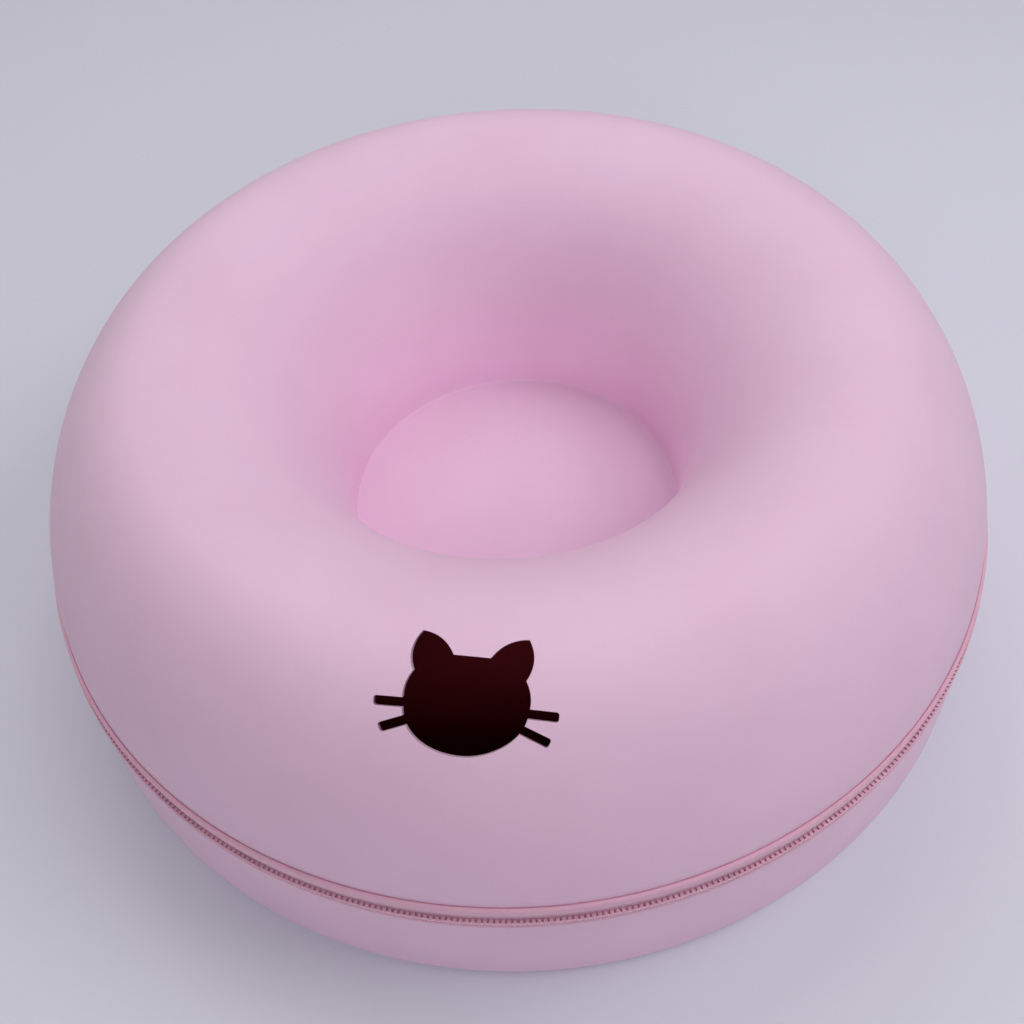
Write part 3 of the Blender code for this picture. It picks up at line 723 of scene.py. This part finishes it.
oval = [(DOORWAY_SIZE[0] / 2 * math.cos(a), DOORWAY_SIZE[1] / 2 * math.sin(a))
        for a in (math.radians(3 * i) for i in range(120))]
cut(upper_shell, cutter("peephole_cutter", head, FACE_PLACE), 32)
cut(upper_shell, cutter("doorway_cutter", oval, DOORWAY_PLACE), 32)
fit(upper_shell, "lid", "shell_laminate", "upper_shell")

# %% [markdown]
# ## The lower shell
# A tray that flares out below the zip, turns under in a rounded edge and rises in the
# middle to carry the floor of the bowl. It is turned in the same way.

# %% Lower shell
WIDEST_RADIUS = 0.295
BULGE_HEIGHT = 0.007
EDGE_WIDTH = 0.0065
RIM_BOTTOM = ZIP_HEIGHT - 0.004
FOOT_RADIUS = 0.125
STAND_RADIUS = 0.098
STAND_HEIGHT = 0.0431
STAND_BEND = 0.007
SIDE_FLARE, SIDE_FALL = 0.45, 0.35


def lower_side(steps=20):
    """Outer face of the lower shell's side, from its rim to the flat base."""
    flare = WIDEST_RADIUS - WALL_RADIUS
    fall = RIM_BOTTOM - BULGE_HEIGHT
    line = [(WALL_RADIUS, RIM_BOTTOM)]
    line += curve(line[0], (WALL_RADIUS + flare * SIDE_FLARE, RIM_BOTTOM - fall * SIDE_FALL),
                  (WIDEST_RADIUS, BULGE_HEIGHT + fall * SIDE_FALL),
                  (WIDEST_RADIUS, BULGE_HEIGHT), steps)
    for i in range(1, 15):
        a = math.radians(90 * i / 14)
        line.append((WIDEST_RADIUS - EDGE_WIDTH * (1 - math.cos(a)), BULGE_HEIGHT * (1 - math.sin(a))))
    return line


def lower_line():
    """Outer face of the lower shell, from its rim to the axis under the stand."""
    side = lower_side()
    foot, shoulder = (FOOT_RADIUS, 0), (STAND_RADIUS, STAND_HEIGHT - WALL)
    line = side + [(0.24, 0), (0.18, 0)]
    line += rounded(line[-1], foot, shoulder, STAND_BEND, 6)
    line += rounded(foot, shoulder, (0, shoulder[1]), STAND_BEND, 6)
    return line + [(0.05, shoulder[1]), (0, shoulder[1])]


lower_outer = lower_line()
outline, outside_count = shell_outline(lower_outer, -WALL)
points, faces, owners = turned(outline, RING_STEPS)
lower_shell = make_piece("lower_shell_skin", points, faces, [outer_cloth, painted_shade_lining],
                         [0 if k < outside_count - 1 else 1 for k in owners])
fit(lower_shell, "base", "shell_laminate", "lower_shell")

# %% [markdown]
# ## Bands that go round
# Tapes, bindings and the hinge are all long bands with the same section from end to end.
# A curve object with a bevel could do this, but a swept section keeps the exact radius
# and gives every corner its own measured place, which the weave needs.

# %% Band helper
def band(name, section, angles, finishes, sharp=50):
    """Sweep a closed section of radius and height round the ring. Open bands get end faces.

    The section is a list, or a function that gives the list for each angle."""
    full = abs(angles[-1] - angles[0]) > 359.9
    stops = angles[:-1] if full else angles
    points, faces, lengths = [], [], []
    sections = [section(angle) if callable(section) else section for angle in stops]
    count = len(sections[0])
    for angle, shape in zip(stops, sections):
        points += [on_ring(r, angle, z) for r, z in shape]
    across = [0.0]
    for p, q in zip(sections[0], sections[0][1:] + sections[0][:1]):
        across.append(across[-1] + math.dist(p, q))
    for k in range(len(stops) if full else len(stops) - 1):
        base, following = k * count, (k + 1) % len(stops) * count
        near = math.radians(angles[k]) * WALL_RADIUS
        far = math.radians(angles[k + 1]) * WALL_RADIUS
        for i in range(count):
            j = (i + 1) % count
            faces.append((base + i, base + j, following + j, following + i))
            lengths.append(((near, across[i]), (near, across[i + 1]),
                            (far, across[i + 1]), (far, across[i])))
    if not full:
        for face in (list(range(count)), list(range(len(points) - count, len(points)))):
            faces.append(face)
            lengths.append([points[v][1:] for v in face])
    return make_piece(name, points, faces, finishes, None, lengths, sharp)


def spaced(start, end, step):
    """Angles from start to end in even steps close to the given one."""
    count = max(1, round(abs(end - start) / step))
    return [start + (end - start) * i / count for i in range(count + 1)]


BACK = 90.0
print("the back of the ring is at", BACK, "degrees")

# %% [markdown]
# ## Zip tape
# The tape is woven, so light breaks up on it in a fine check. Two sine waves, one along
# and one across, make that check at its true size of a little over half a millimetre.

# %% Woven finish
def woven(name, dark, light, pitch, relief=0.00008, roughness=0.75, sheen=0.25):
    """A plain weave with its threads a pitch apart, from the piece's measured lengths."""
    finish, add, join = new_finish(name, light, roughness, sheen=sheen)
    place = add("ShaderNodeUVMap", {"uv_map": "lengths"}).outputs["UV"]
    parts = add("ShaderNodeSeparateXYZ", None, Vector=place)
    waves = []
    for axis in ("X", "Y"):
        turns = worked(add, "MULTIPLY", parts.outputs[axis], math.pi / pitch)
        waves.append(worked(add, "SINE", turns))
    fuzz = worked(add, "MULTIPLY_ADD", grain(add, 1800), 0.8, worked(add, "MULTIPLY", *waves))
    join(two_tone(add, fuzz, dark, light, 0.0, 0.9), "Base Color")
    raised(add, join, fuzz, 0.6, relief)
    return finish


tape_cloth = woven("zip_tape_weave", (221, 163, 189), (241, 192, 212), 0.0006)
# A darker pink for the tape's groove and the underside of its roll: painted shade.
painted_shade_cloth = woven("zip_tape_painted_shade", (200, 138, 166), (214, 152, 180), 0.0006)
print("the weave has a thread every 0.6 mm")

# %% [markdown]
# The upper tape is rolled over the shell's edge like piping, which hides the seam in a
# narrow, dark groove. That groove is shaped, and its faces are also painted a darker pink
# as painted shade, because the shadow in it is what draws the line round the tunnel. The
# underside of the roll gets the same painted shade. Both tapes are bands with their own
# section.

# %% Upper and lower tape
TAPE_RADIUS = WALL_RADIUS + 0.0001
TAPE_LOW = ZIP_HEIGHT + 0.0033
TAPE_HIGH = TAPE_LOW + 0.0118
TAPE_LOW_AT_HINGE = 0.07685
HINGE_HALF = 12.06
ZIP_OPENING = 24.0
ROLL = ((0.0, 0.0), (0.0, 0.30), (0.0, 0.60), (0.0, 0.965), (0.0001, 0.968), (0.0003, 0.98),
        (0.0006, 0.995), (0.0010, 1.0), (0.0016, 0.985), (0.0021, 0.955), (0.0024, 0.90),
        (0.0025, 0.83), (0.0025, 0.74), (0.0023, 0.62), (0.0021, 0.48), (0.0019, 0.34),
        (0.0018, 0.20), (0.0017, 0.08), (0.0015, 0.0))
# Faces of the roll that get the painted shade: the groove, and the underside of the roll.
SHADED_PARTS = (3, 4, 5, 15, 16, 17)
LOWER_TAPE_HIGH = ZIP_HEIGHT - 0.0033
LOWER_TAPE_LOW = LOWER_TAPE_HIGH - 0.0065
LOWER_TAPE_THICK = 0.0008
CLOTH_GAP = 0.0003


def from_back(angle):
    """How far an angle is from the back of the ring, either way."""
    return abs((angle - BACK + 180) % 360 - 180)


def roll_section(angle):
    """Section of the upper tape at an angle. Its lower edge stays higher where the slider parks."""
    low = TAPE_LOW_AT_HINGE if from_back(angle) < ZIP_OPENING else TAPE_LOW
    return [(TAPE_RADIUS + out, low + (TAPE_HIGH - low) * share) for out, share in ROLL]


def side_radius(height):
    """Radius of the lower shell's outer face at a height. Above its rim the wall goes straight up."""
    return radius_on(lower_outer, height, WALL_RADIUS)


def hugging(low, high, inner, outer, rows, round_off=0.0003):
    """Section of a band that follows the wall and the lower shell's side, with soft long edges."""
    heights = [low + (high - low) * i / rows for i in range(rows + 1)]
    near = [(side_radius(z) + inner, z) for z in heights]
    far = [(side_radius(z) + outer, z) for z in heights]
    far[0] = (far[0][0] - round_off, far[0][1] + round_off)
    far[-1] = (far[-1][0] - round_off, far[-1][1] - round_off)
    return near + far[::-1]


whole_zip = (BACK + HINGE_HALF, BACK - HINGE_HALF + 360)
edge_left, edge_right = BACK + ZIP_OPENING, BACK - ZIP_OPENING + 360
free_edge = (edge_left + 0.05, edge_right - 0.05)
tape_angles = (spaced(whole_zip[0], edge_left - 0.01, 1) + spaced(*free_edge, 1)
               + spaced(edge_right + 0.01, whole_zip[1], 1))
upper_tape = band("upper_tape_roll", roll_section, tape_angles, [tape_cloth, painted_shade_cloth])
tape_faces = upper_tape.data.polygons
kinds = [int(i < len(tape_faces) - 2 and i % len(ROLL) in SHADED_PARTS) for i in range(len(tape_faces))]
tape_faces.foreach_set("material_index", kinds)
fit(upper_tape, "lid", "zip_tape", "upper_zip_tape")
lower_section = hugging(LOWER_TAPE_LOW, LOWER_TAPE_HIGH, CLOTH_GAP, CLOTH_GAP + LOWER_TAPE_THICK, 8)
lower_tape = band("lower_tape_strip", lower_section, spaced(*whole_zip, 1), [tape_cloth])
fit(lower_tape, "base", "zip_tape", "lower_zip_tape")

# %% [markdown]
# ## The teeth
# Moulded teeth sit three millimetres apart on each tape, and those of the lower row come
# between those of the upper one. Each has a shoulder that grips the tape, a narrower
# neck and a wide head, so the heads lock behind each other. A woven cord at the tape's
# edge runs through the shoulders. The dark dots along the zip are the small wells between
# the shoulders, with the roll behind them, the cord in front and cloth at the bottom. An
# array of one tooth bent round a circle would do, but placing each tooth by its angle
# gives the same result and stops exactly where the rows stop.

# %% Teeth
TOOTH_PITCH = 0.0030
ROW_INNER = WALL_RADIUS + 0.0010
ROW_OUTER = ROW_INNER + 0.003
ROW_RADIUS = (ROW_INNER + ROW_OUTER) / 2
HALF_TOOTH = ((0.34, -0.86), (0.58, -0.66), (0.66, -0.34), (0.55, 0.10), (0.48, 0.70), (0.52, 1.15),
              (0.80, 1.75), (0.93, 2.1), (0.93, 3.0))
TOOTH_ROUNDING = 0.00028
TOOTH_MIDDLE = 0.0011
ZIP_START = 13.9

teeth_plastic, add, join = new_finish("zip_tooth_plastic", (218, 164, 190), 0.42)
join(two_tone(add, grain(add, 60), (210, 156, 182), (225, 172, 197)), "Base Color")
raised(add, join, grain(add, 2200), 0.15, 0.00005)


def teeth_row(name, start, end, up, phase=0.0):
    """One row of teeth between two angles. up is 1 for the upper row and -1 for the lower one."""
    right_side = [(x / 1000, z / 1000 * up) for x, z in HALF_TOOTH]
    tooth = right_side + [(-x, z) for x, z in reversed(right_side)]
    if up < 0:
        tooth = tooth[::-1]
    middle = Vector((0, TOOTH_MIDDLE * up))
    small = [tuple(Vector(p).lerp(middle, 0.10 if abs(p[1]) > 0.0008 else 0.16)) for p in tooth]
    layers = ((small, ROW_INNER), (tooth, ROW_INNER + TOOTH_ROUNDING),
              (tooth, ROW_OUTER - TOOTH_ROUNDING), (small, ROW_OUTER))
    step = math.degrees(TOOTH_PITCH / ROW_RADIUS)
    first = math.ceil((start - BACK) / step - phase + 0.4)
    last = math.floor((end - BACK) / step - phase - 0.4)
    row = []
    for n in range(first, last + 1):
        angle = BACK + (n + phase) * step
        row.append(tube([[on_ring(radius, angle + math.degrees(x / ROW_RADIUS), ZIP_HEIGHT + z)
                          for x, z in shape] for shape, radius in layers]))
    print(name, "has", len(row), "teeth")
    return make_piece(name, *gathered(row), [teeth_plastic], sharp=48)


def tape_part(name, span, shape, face, step=1):
    """A stretch of woven tape. Its shape is measured from a face and from the zip's mid-height."""
    section = [(face + out, ZIP_HEIGHT + up) for out, up in shape]
    return band(name, section, spaced(*span, step), [tape_cloth])


UPPER_CORD = ((-0.0034, 0.0008), (-0.0002, 0.0008), (0.0001, 0.0011), (0.0001, 0.0026),
              (-0.0001, 0.0028), (-0.0006, 0.0028), (-0.0007, 0.0015), (-0.0034, 0.0016))
LOWER_CORD = ((-0.0008, -0.0033), (-0.0002, -0.0033), (0.0001, -0.0030), (0.0001, -0.0013),
              (-0.0002, -0.0010), (-0.0008, -0.0010))
lower_row = (BACK + ZIP_START, BACK - ZIP_START + 360)
fit(tape_part("upper_tape_cord", free_edge, UPPER_CORD, ROW_OUTER), "lid", "zip_tape")
fit(tape_part("lower_tape_cord", lower_row, LOWER_CORD, ROW_OUTER), "base", "zip_tape")
fit(teeth_row("upper_teeth", edge_left, edge_right, 1), "lid", "zip_teeth", "upper_zip_chain")
fit(teeth_row("lower_teeth", *lower_row, -1, 0.5), "base", "zip_teeth", "lower_zip_chain")

# %% [markdown]
# Beside the hinge the last teeth of the upper row stay where the slider parks, with the
# short piece of tape that holds them. From there to the hinge the tapes' folded ends
# close the gap. The stops are small metal clamps pressed round the edge of the tape,
# with a groove where the press closed them.

# %% Zip ends and stops
END_TAPE = ((0.0, 0.0031), (0.0012, 0.0031), (0.0014, 0.0033), (0.0014, 0.0042), (0.0012, 0.0044),
            (0.0, 0.0044))
FOLDED_END = ((-0.0008, -0.0040), (0.0008, -0.0040), (0.0012, -0.0035), (0.0013, 0.0005),
              (0.0012, 0.0040), (0.0008, 0.0045), (-0.0008, 0.0045))
CLAMP_OVERLAP = 0.0004
CLAMP_EDGE = 0.0003


def either_side(near, far):
    """The stretch between two distances from the back, on the left and then on the right."""
    return ("left", (BACK + near, BACK + far)), ("right", (BACK - far, BACK - near))


for side, span in either_side(ZIP_START, ZIP_OPENING - 0.12):
    fit(teeth_row(side + "_end_teeth", *span, 1), "base", "zip_teeth", side + "_zip_end")
    fit(tape_part(side + "_end_tape", span, END_TAPE, TAPE_RADIUS), "base", "zip_tape")
    fit(tape_part(side + "_end_cord", span, UPPER_CORD, ROW_OUTER), "base", "zip_tape")
for side, span in either_side(HINGE_HALF + 0.02, ZIP_START):
    fit(tape_part(side + "_tape_tail", span, FOLDED_END, TAPE_RADIUS, 0.5), "base", "zip_tape")

clamp_metal, add, join = new_finish("stop_metal", (190, 188, 190), 0.32, 0.9)
join(two_tone(add, grain(add, 900), (150, 148, 150), (198, 196, 198)), "Base Color")


def clamp(name, side, length, low, high):
    """A clamp with rounded edges and a pressed groove along its middle."""
    near = BACK + side * (ZIP_START - 0.06)
    far = near - side * math.degrees(length / WALL_RADIUS)
    inner, outer, soft = ROW_INNER - CLAMP_OVERLAP, ROW_OUTER + CLAMP_OVERLAP, CLAMP_EDGE
    middle = (low + high) / 2
    section = [(inner, low + soft), (inner + soft, low), (outer - soft, low), (outer, low + soft),
               (outer, middle - soft), (outer - soft, middle), (outer, middle + soft),
               (outer, high - soft), (outer - soft, high), (inner + soft, high), (inner, high - soft)]
    stops = sorted((near, (near + far) / 2, far))
    return softened(band(name, section, stops, [clamp_metal], 30), 0.00015)


CLAMPS = (("upper_end_clamp", "top_stop_upper", -1, 0.0024, 0.00015, 0.003),
          ("lower_end_clamp", "top_stop_lower", -1, 0.0024, -0.003, -0.00015),
          ("joining_clamp", "bottom_stop", 1, 0.004, -0.003, 0.003))
for name, node, side, length, low, high in CLAMPS:
    fit(clamp(name, side, length, ZIP_HEIGHT + low, ZIP_HEIGHT + high), "base", "stop_metal", node)

# %% [markdown]
# ## Slider and pull
# The slider is a small casting, lacquered to match: an outer and an inner plate, a
# divider between them that parts the teeth, and an arched bar for the pull. Its outer
# plate is wide where the open rows come in and narrow where they leave closed, with
# rims turned in to hold the teeth. Outlines pushed out and bevelled are enough, since
# the casting is all flat plates with soft edges.

# %% Slider
PARK = 18.5
INNER_FACE = WALL_RADIUS - 0.0004
OUTER_FACE = WALL_RADIUS + 0.0042
PLATE = 0.0016
BAR_RADIUS = 0.0036
BAR_THICK, BAR_HIGH = 0.0007, 0.0010
ARCH_CLEARANCE = 0.0004
PIVOT = OUTER_FACE + PLATE + ARCH_CLEARANCE + BAR_THICK
seat = Matrix.Translation((0, 0, ZIP_HEIGHT)) @ Matrix.Rotation(math.radians(-PARK), 4, "Z")

lacquer, add, join = new_finish("slider_lacquer", (214, 160, 182), 0.3)
join(two_tone(add, grain(add, 350), (205, 148, 172), (219, 167, 189)), "Base Color")
join(add("ShaderNodeMapRange", None, Value=grain(add, 500), i3=0.22, i4=0.42).outputs[0], "Roughness")
raised(add, join, grain(add, 800), 0.1, 0.00005)


def slab(outline, low, high):
    """Points and faces of an outline in X and Z, pushed out along Y from low to high."""
    return tube([[(x, y, z) for x, z in outline] for y in (low, high)])


def mirrored(top):
    """Close an outline given by its upper half, from the left end to the right."""
    return top + [(x, -z) for x, z in reversed(top)]


plate_top = [(-0.0065, 0.0046), (-0.0060, 0.0052), (-0.0050, 0.0055), (-0.0020, 0.0054),
             (0.0010, 0.0048), (0.0040, 0.0044), (0.0058, 0.0043), (0.0064, 0.0038)]
outer_plate = mirrored([(-0.0058, 0.0012), (-0.0065, 0.0022)] + plate_top + [(0.0065, 0.0030)])
rim_parts = []
for turn in (1, -1):
    upper_edge = [(x, z * turn) for x, z in plate_top]
    lower_edge = [(x, (z - 0.0009) * turn) for x, z in reversed(plate_top)]
    rim_parts.append(slab(upper_edge + lower_edge, OUTER_FACE - 0.0006, OUTER_FACE + 0.0004))
inner_plate = mirrored([(-0.0065, 0.0026), (-0.0060, 0.0030), (0.0060, 0.0030), (0.0065, 0.0026)])
divider = mirrored([(-0.0064, 0.0005), (-0.0058, 0.0009), (-0.0020, 0.0009), (0.0010, 0.0004)])
points, faces = gathered([slab(outer_plate, OUTER_FACE, OUTER_FACE + PLATE), *rim_parts,
                          slab(inner_plate, INNER_FACE - PLATE, INNER_FACE),
                          slab(divider, INNER_FACE - 0.0004, OUTER_FACE + 0.0004)])
slider = make_piece("slider_casting", points, faces, [lacquer])
slider.matrix_world = seat
softened(slider, 0.00022)
fit(slider, "slider", "slider_metal", "slider_body")

# %% [markdown]
# The bar for the pull is an oval wire that rises from the outer plate, bends over and
# comes down. A curve with a round bevel would do for a round wire, and rings of points
# do for an oval one.

# %% Slider arch
def arch(steps=18, sides=12):
    """Points and faces of the bar, from one foot to the other."""
    foot = OUTER_FACE + PLATE / 2
    path = [(BAR_RADIUS, foot, 0.0)]
    for i in range(steps + 1):
        a = math.pi * i / steps
        path.append((BAR_RADIUS * math.cos(a), PIVOT + BAR_RADIUS * math.sin(a), a))
    path.append((-BAR_RADIUS, foot, math.pi))
    wire = [(BAR_THICK * math.cos(b), BAR_HIGH * math.sin(b))
            for b in (2 * math.pi * k / sides for k in range(sides))]
    return tube([[(x + out * math.cos(a), y + out * math.sin(a), high) for out, high in wire]
                 for x, y, a in path])


bridge = make_piece("slider_arch", *arch(), [lacquer])
bridge.matrix_world = seat
fit(bridge, "slider", "slider_metal")

# %% [markdown]
# The pull is a stamped leaf with a raised rim, a few ribs for the fingers and an eye
# round the arch. The eye is cut with a Boolean, so the leaf can be drawn whole first.

# %% Pull
PULL_LENGTH = 0.026
PULL_WIDE = 0.00325
PULL_NECK = 0.0028
EYE_PLAY = 0.0006
EYE_RIM = 0.0013
PULL_START = BAR_RADIUS - BAR_THICK - EYE_PLAY - EYE_RIM
LEAF_HALF = 0.0007
HOLLOW_START, HOLLOW_HALF = 0.0075, 0.0019
RIB_PLACES = (0.0150, 0.0166, 0.0182, 0.0198)
RIB_HALF, RIB_REACH = 0.0004, 0.0018


def leaf_outline(inset=0.0, steps=14):
    """The leaf's outline in X and Z, with a round far end, moved in by inset."""
    wide, neck = PULL_WIDE - inset, PULL_NECK - inset
    round_at = PULL_LENGTH - PULL_WIDE
    top = [(PULL_START + inset, neck * 0.75), (PULL_START + inset + 0.0005, neck)]
    top += [(round_at + wide * math.sin(a), wide * math.cos(a))
            for a in (math.pi / 2 * i / steps for i in range(steps))]
    return mirrored(top) if inset else top + [(PULL_LENGTH, 0.0)] + [(x, -z) for x, z in reversed(top)]


leaf = make_piece("pull_leaf", *slab(leaf_outline(), -LEAF_HALF, LEAF_HALF), [lacquer])
hollows = []
for side in (-1, 1):
    hollow = [(x, z) for x, z in leaf_outline(0.0009) if x > HOLLOW_START]
    hollow += [(HOLLOW_START, -HOLLOW_HALF), (HOLLOW_START, HOLLOW_HALF)]
    hollows.append(slab(hollow, *sorted((side * 0.0004, side * 0.0012))))
eye_wide, eye_high = BAR_THICK + EYE_PLAY, BAR_HIGH + EYE_PLAY
eye = [(BAR_RADIUS + x * eye_wide, z * eye_high)
       for x, z in ((-1, -0.6), (-0.6, -1), (0.6, -1), (1, -0.6),
                    (1, 0.6), (0.6, 1), (-0.6, 1), (-1, 0.6))]
hollows.append(slab(eye, -0.002, 0.002))
for n, part in enumerate(hollows):
    cut(leaf, make_piece("punch_" + str(n), *part, [lacquer]))
softened(leaf, 0.00015)
ribs = gathered([slab([(x - RIB_HALF, -RIB_REACH), (x + RIB_HALF, -RIB_REACH),
                       (x + RIB_HALF, RIB_REACH), (x - RIB_HALF, RIB_REACH)],
                      *sorted((side * 0.0003, side * 0.00062)))
                 for x in RIB_PLACES for side in (-1, 1)])
grip = make_piece("pull_ribs", *ribs, [lacquer])
softened(grip, 0.00012)
for piece in (leaf, grip):
    piece.matrix_world = seat @ Matrix.Translation((0, PIVOT, 0))
fit(leaf, "pull", "slider_metal", "pull_tab")
fit(grip, "pull", "slider_metal")

# %% [markdown]
# ## Stitches
# Each stitch is a short piece of thread that dips into the cloth at both ends, so it is
# made as a bent capsule and not as a painted dash. The first row holds the lower tape.

# %% Thread helper
THREAD = 0.00022
SEAM_FROM_EDGE = 0.0018
thread_twist, add, join = new_finish("thread", (206, 150, 178), 0.6, sheen=0.3)
join(two_tone(add, grain(add, 1500), (186, 126, 156), (214, 160, 187)), "Base Color")


def stitches(name, radius_at, height, start, end, length=0.0030, gap=0.0011, inward=False):
    """A row of stitches at one height, from one angle to another."""
    step = math.degrees((length + gap) / WALL_RADIUS)
    count = round(abs(end - start) / step)
    step = (end - start) / count
    half = step * length / (length + gap) / 2
    side = -1 if inward else 1
    rings = ((-1.0, 0.35, -1.4), (-0.93, 0.9, -0.5), (-0.6, 1.0, 0.35), (0.0, 1.0, 0.6),
             (0.6, 1.0, 0.35), (0.93, 0.9, -0.5), (1.0, 0.35, -1.4))
    around = [math.pi * k / 3 for k in range(6)]
    row = []
    for n in range(count):
        middle = start + (n + 0.5) * step
        row.append(tube([[on_ring(radius_at(height) + side * THREAD * (out + thick * math.cos(b)),
                                  middle + half * along, height + THREAD * thick * math.sin(b))
                          for b in around] for along, thick, out in rings]))
    return make_piece(name, *gathered(row), [thread_twist], sharp=80)


lower_seam = stitches("lower_tape_stitches", lambda z: side_radius(z) + CLOTH_GAP + LOWER_TAPE_THICK,
                      LOWER_TAPE_LOW + SEAM_FROM_EDGE, *whole_zip)
fit(lower_seam, "base", "zip_tape")

# %% [markdown]
# ## Bindings inside
# Where a tape is sewn to a shell, the raw edge inside is covered by a narrow binding. It
# shows only when the lid is up. The upper one has two sewn channels in its section, and
# the lower one follows the flare of its shell.

# %% Bindings
BINDING_THICK = 0.0012
BINDING_HIGH = 0.011
CHANNEL = 0.00105
SEWN_AT = (0.2, 0.8)
binding_cloth = woven("binding_weave", (184, 118, 148), (206, 146, 172), 0.0007)
inner_radius = WALL_RADIUS - WALL - CLOTH_GAP
low = RIM_TOP + CLOTH_GAP
binding = [(inner_radius, low), (inner_radius, low + BINDING_HIGH)]
binding += [(inner_radius - out, low + BINDING_HIGH * share)
            for out, share in ((0.0008, 1.0), (0.0011, 0.97), (BINDING_THICK, 0.85), (CHANNEL, 0.8),
                               (BINDING_THICK, 0.75), (BINDING_THICK, 0.25), (CHANNEL, 0.2),
                               (BINDING_THICK, 0.15), (0.0011, 0.03), (0.0008, 0.0))]
all_round = spaced(0, 360, 1.5)
upper_binding = band("upper_binding", binding, all_round, [binding_cloth])
fit(upper_binding, "lid", "zip_tape", "upper_seam_binding")
high = RIM_BOTTOM - CLOTH_GAP
shelf = -WALL - CLOTH_GAP
lower_section = hugging(high - BINDING_HIGH, high, shelf - BINDING_THICK, shelf, 6, 0.0)
lower_binding = band("lower_binding", lower_section, all_round, [binding_cloth])
fit(lower_binding, "base", "zip_tape", "lower_seam_binding")
rows = (("upper", "lid", low, 1, lambda z: inner_radius - CHANNEL),
        ("lower", "base", high, -1, lambda z: side_radius(z) + shelf - BINDING_THICK))
for share in SEWN_AT:
    for where, body, edge, way, face_at in rows:
        name = where + "_binding_stitches_" + str(round(share * 10))
        row = stitches(name, face_at, edge + way * BINDING_HIGH * share, 0, 360, inward=True)
        fit(row, body, "zip_tape")

# %% [markdown]
# ## The fabric hinge
# At the back a strip of cloth joins the shells where the zip leaves off. It is one strip,
# half on each shell, and it bends at the parting line as the lid opens. So it is one
# piece with many rows across the fold.

# %% Fabric hinge
hinge_cloth = woven("hinge_weave", (200, 152, 184), (220, 178, 206), 0.0008, 0.0001)
STRIP_LOW, STRIP_HIGH = ZIP_HEIGHT - 0.0143, ZIP_HEIGHT + 0.0163
STRIP_FACE = 0.0017
STRIP_HALF, STITCHED_HALF = 12.0, 11.4
strip_section = hugging(STRIP_LOW, STRIP_HIGH, CLOTH_GAP, STRIP_FACE, 40, 0.0004)
strip_angles = spaced(BACK - STRIP_HALF, BACK + STRIP_HALF, 0.5)
strip = band("hinge_strip", strip_section, strip_angles, [hinge_cloth])
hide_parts("hinge_patch_upper", "hinge_patch_lower")
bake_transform(strip)
print("hinge strip has", len(strip.data.polygons), "faces")
for name, height, body in (("hinge_stitches_upper", STRIP_HIGH - 0.002, "lid"),
                           ("hinge_stitches_lower", STRIP_LOW + 0.002, "base")):
    row = stitches(name, lambda z: side_radius(z) + STRIP_FACE, height, BACK - STITCHED_HALF,
                   BACK + STITCHED_HALF)
    fit(row, body, "hinge_fabric")

# %% [markdown]
# ## Touch fastener
# A disc of hooks on the stand and a disc of loops under the bowl hold the bowl's floor
# down. Both discs are cut from tape and sewn on round their edge, with the pile standing
# up inside the seam.

# %% Touch fastener
DISC_RADIUS = 0.0451
DISC_THICK = 0.0015
DISC_BORDER = ((0.0003, 0), (0, 0.0003), (0, 0.0007), (0.0003, 0.0010), (0.0022, 0.0009),
               (0.0026, 0.0006), (0.0030, 0.0010), (0.0042, 0.00145))
DISC_LOW = STAND_HEIGHT + CLOTH_GAP
pile, add, join = new_finish("touch_pile", (226, 196, 216), 0.95, sheen=0.4)
tufts = spots(add, 1100.0)
# The hollows of the pile, sunk by the bump, are coloured darker: painted shade.
join(two_tone(add, tufts, (196, 160, 184), (230, 202, 220), 0.1, 0.6), "Base Color")
raised(add, join, tufts, 0.8, 0.0004)


def disc(name, low, up):
    """A disc with a sewn border, seen from above if up is 1 and from below if it is -1."""
    back = low if up > 0 else low + DISC_THICK
    border = [(DISC_RADIUS - inside, high) for inside, high in DISC_BORDER]
    shape = [(0, 0)] + border + [(DISC_RADIUS * 0.5, DISC_THICK), (0, DISC_THICK)]
    points, faces, _ = turned([(r, back + up * z) for r, z in shape], 96)
    return make_piece(name, points, faces, [pile])


fit(disc("hook_pad", DISC_LOW, 1), "base", "touch_fastener", "hook_disc")
fit(disc("loop_pad", DISC_LOW + DISC_THICK + CLOTH_GAP, -1), "lid", "touch_fastener", "loop_disc")
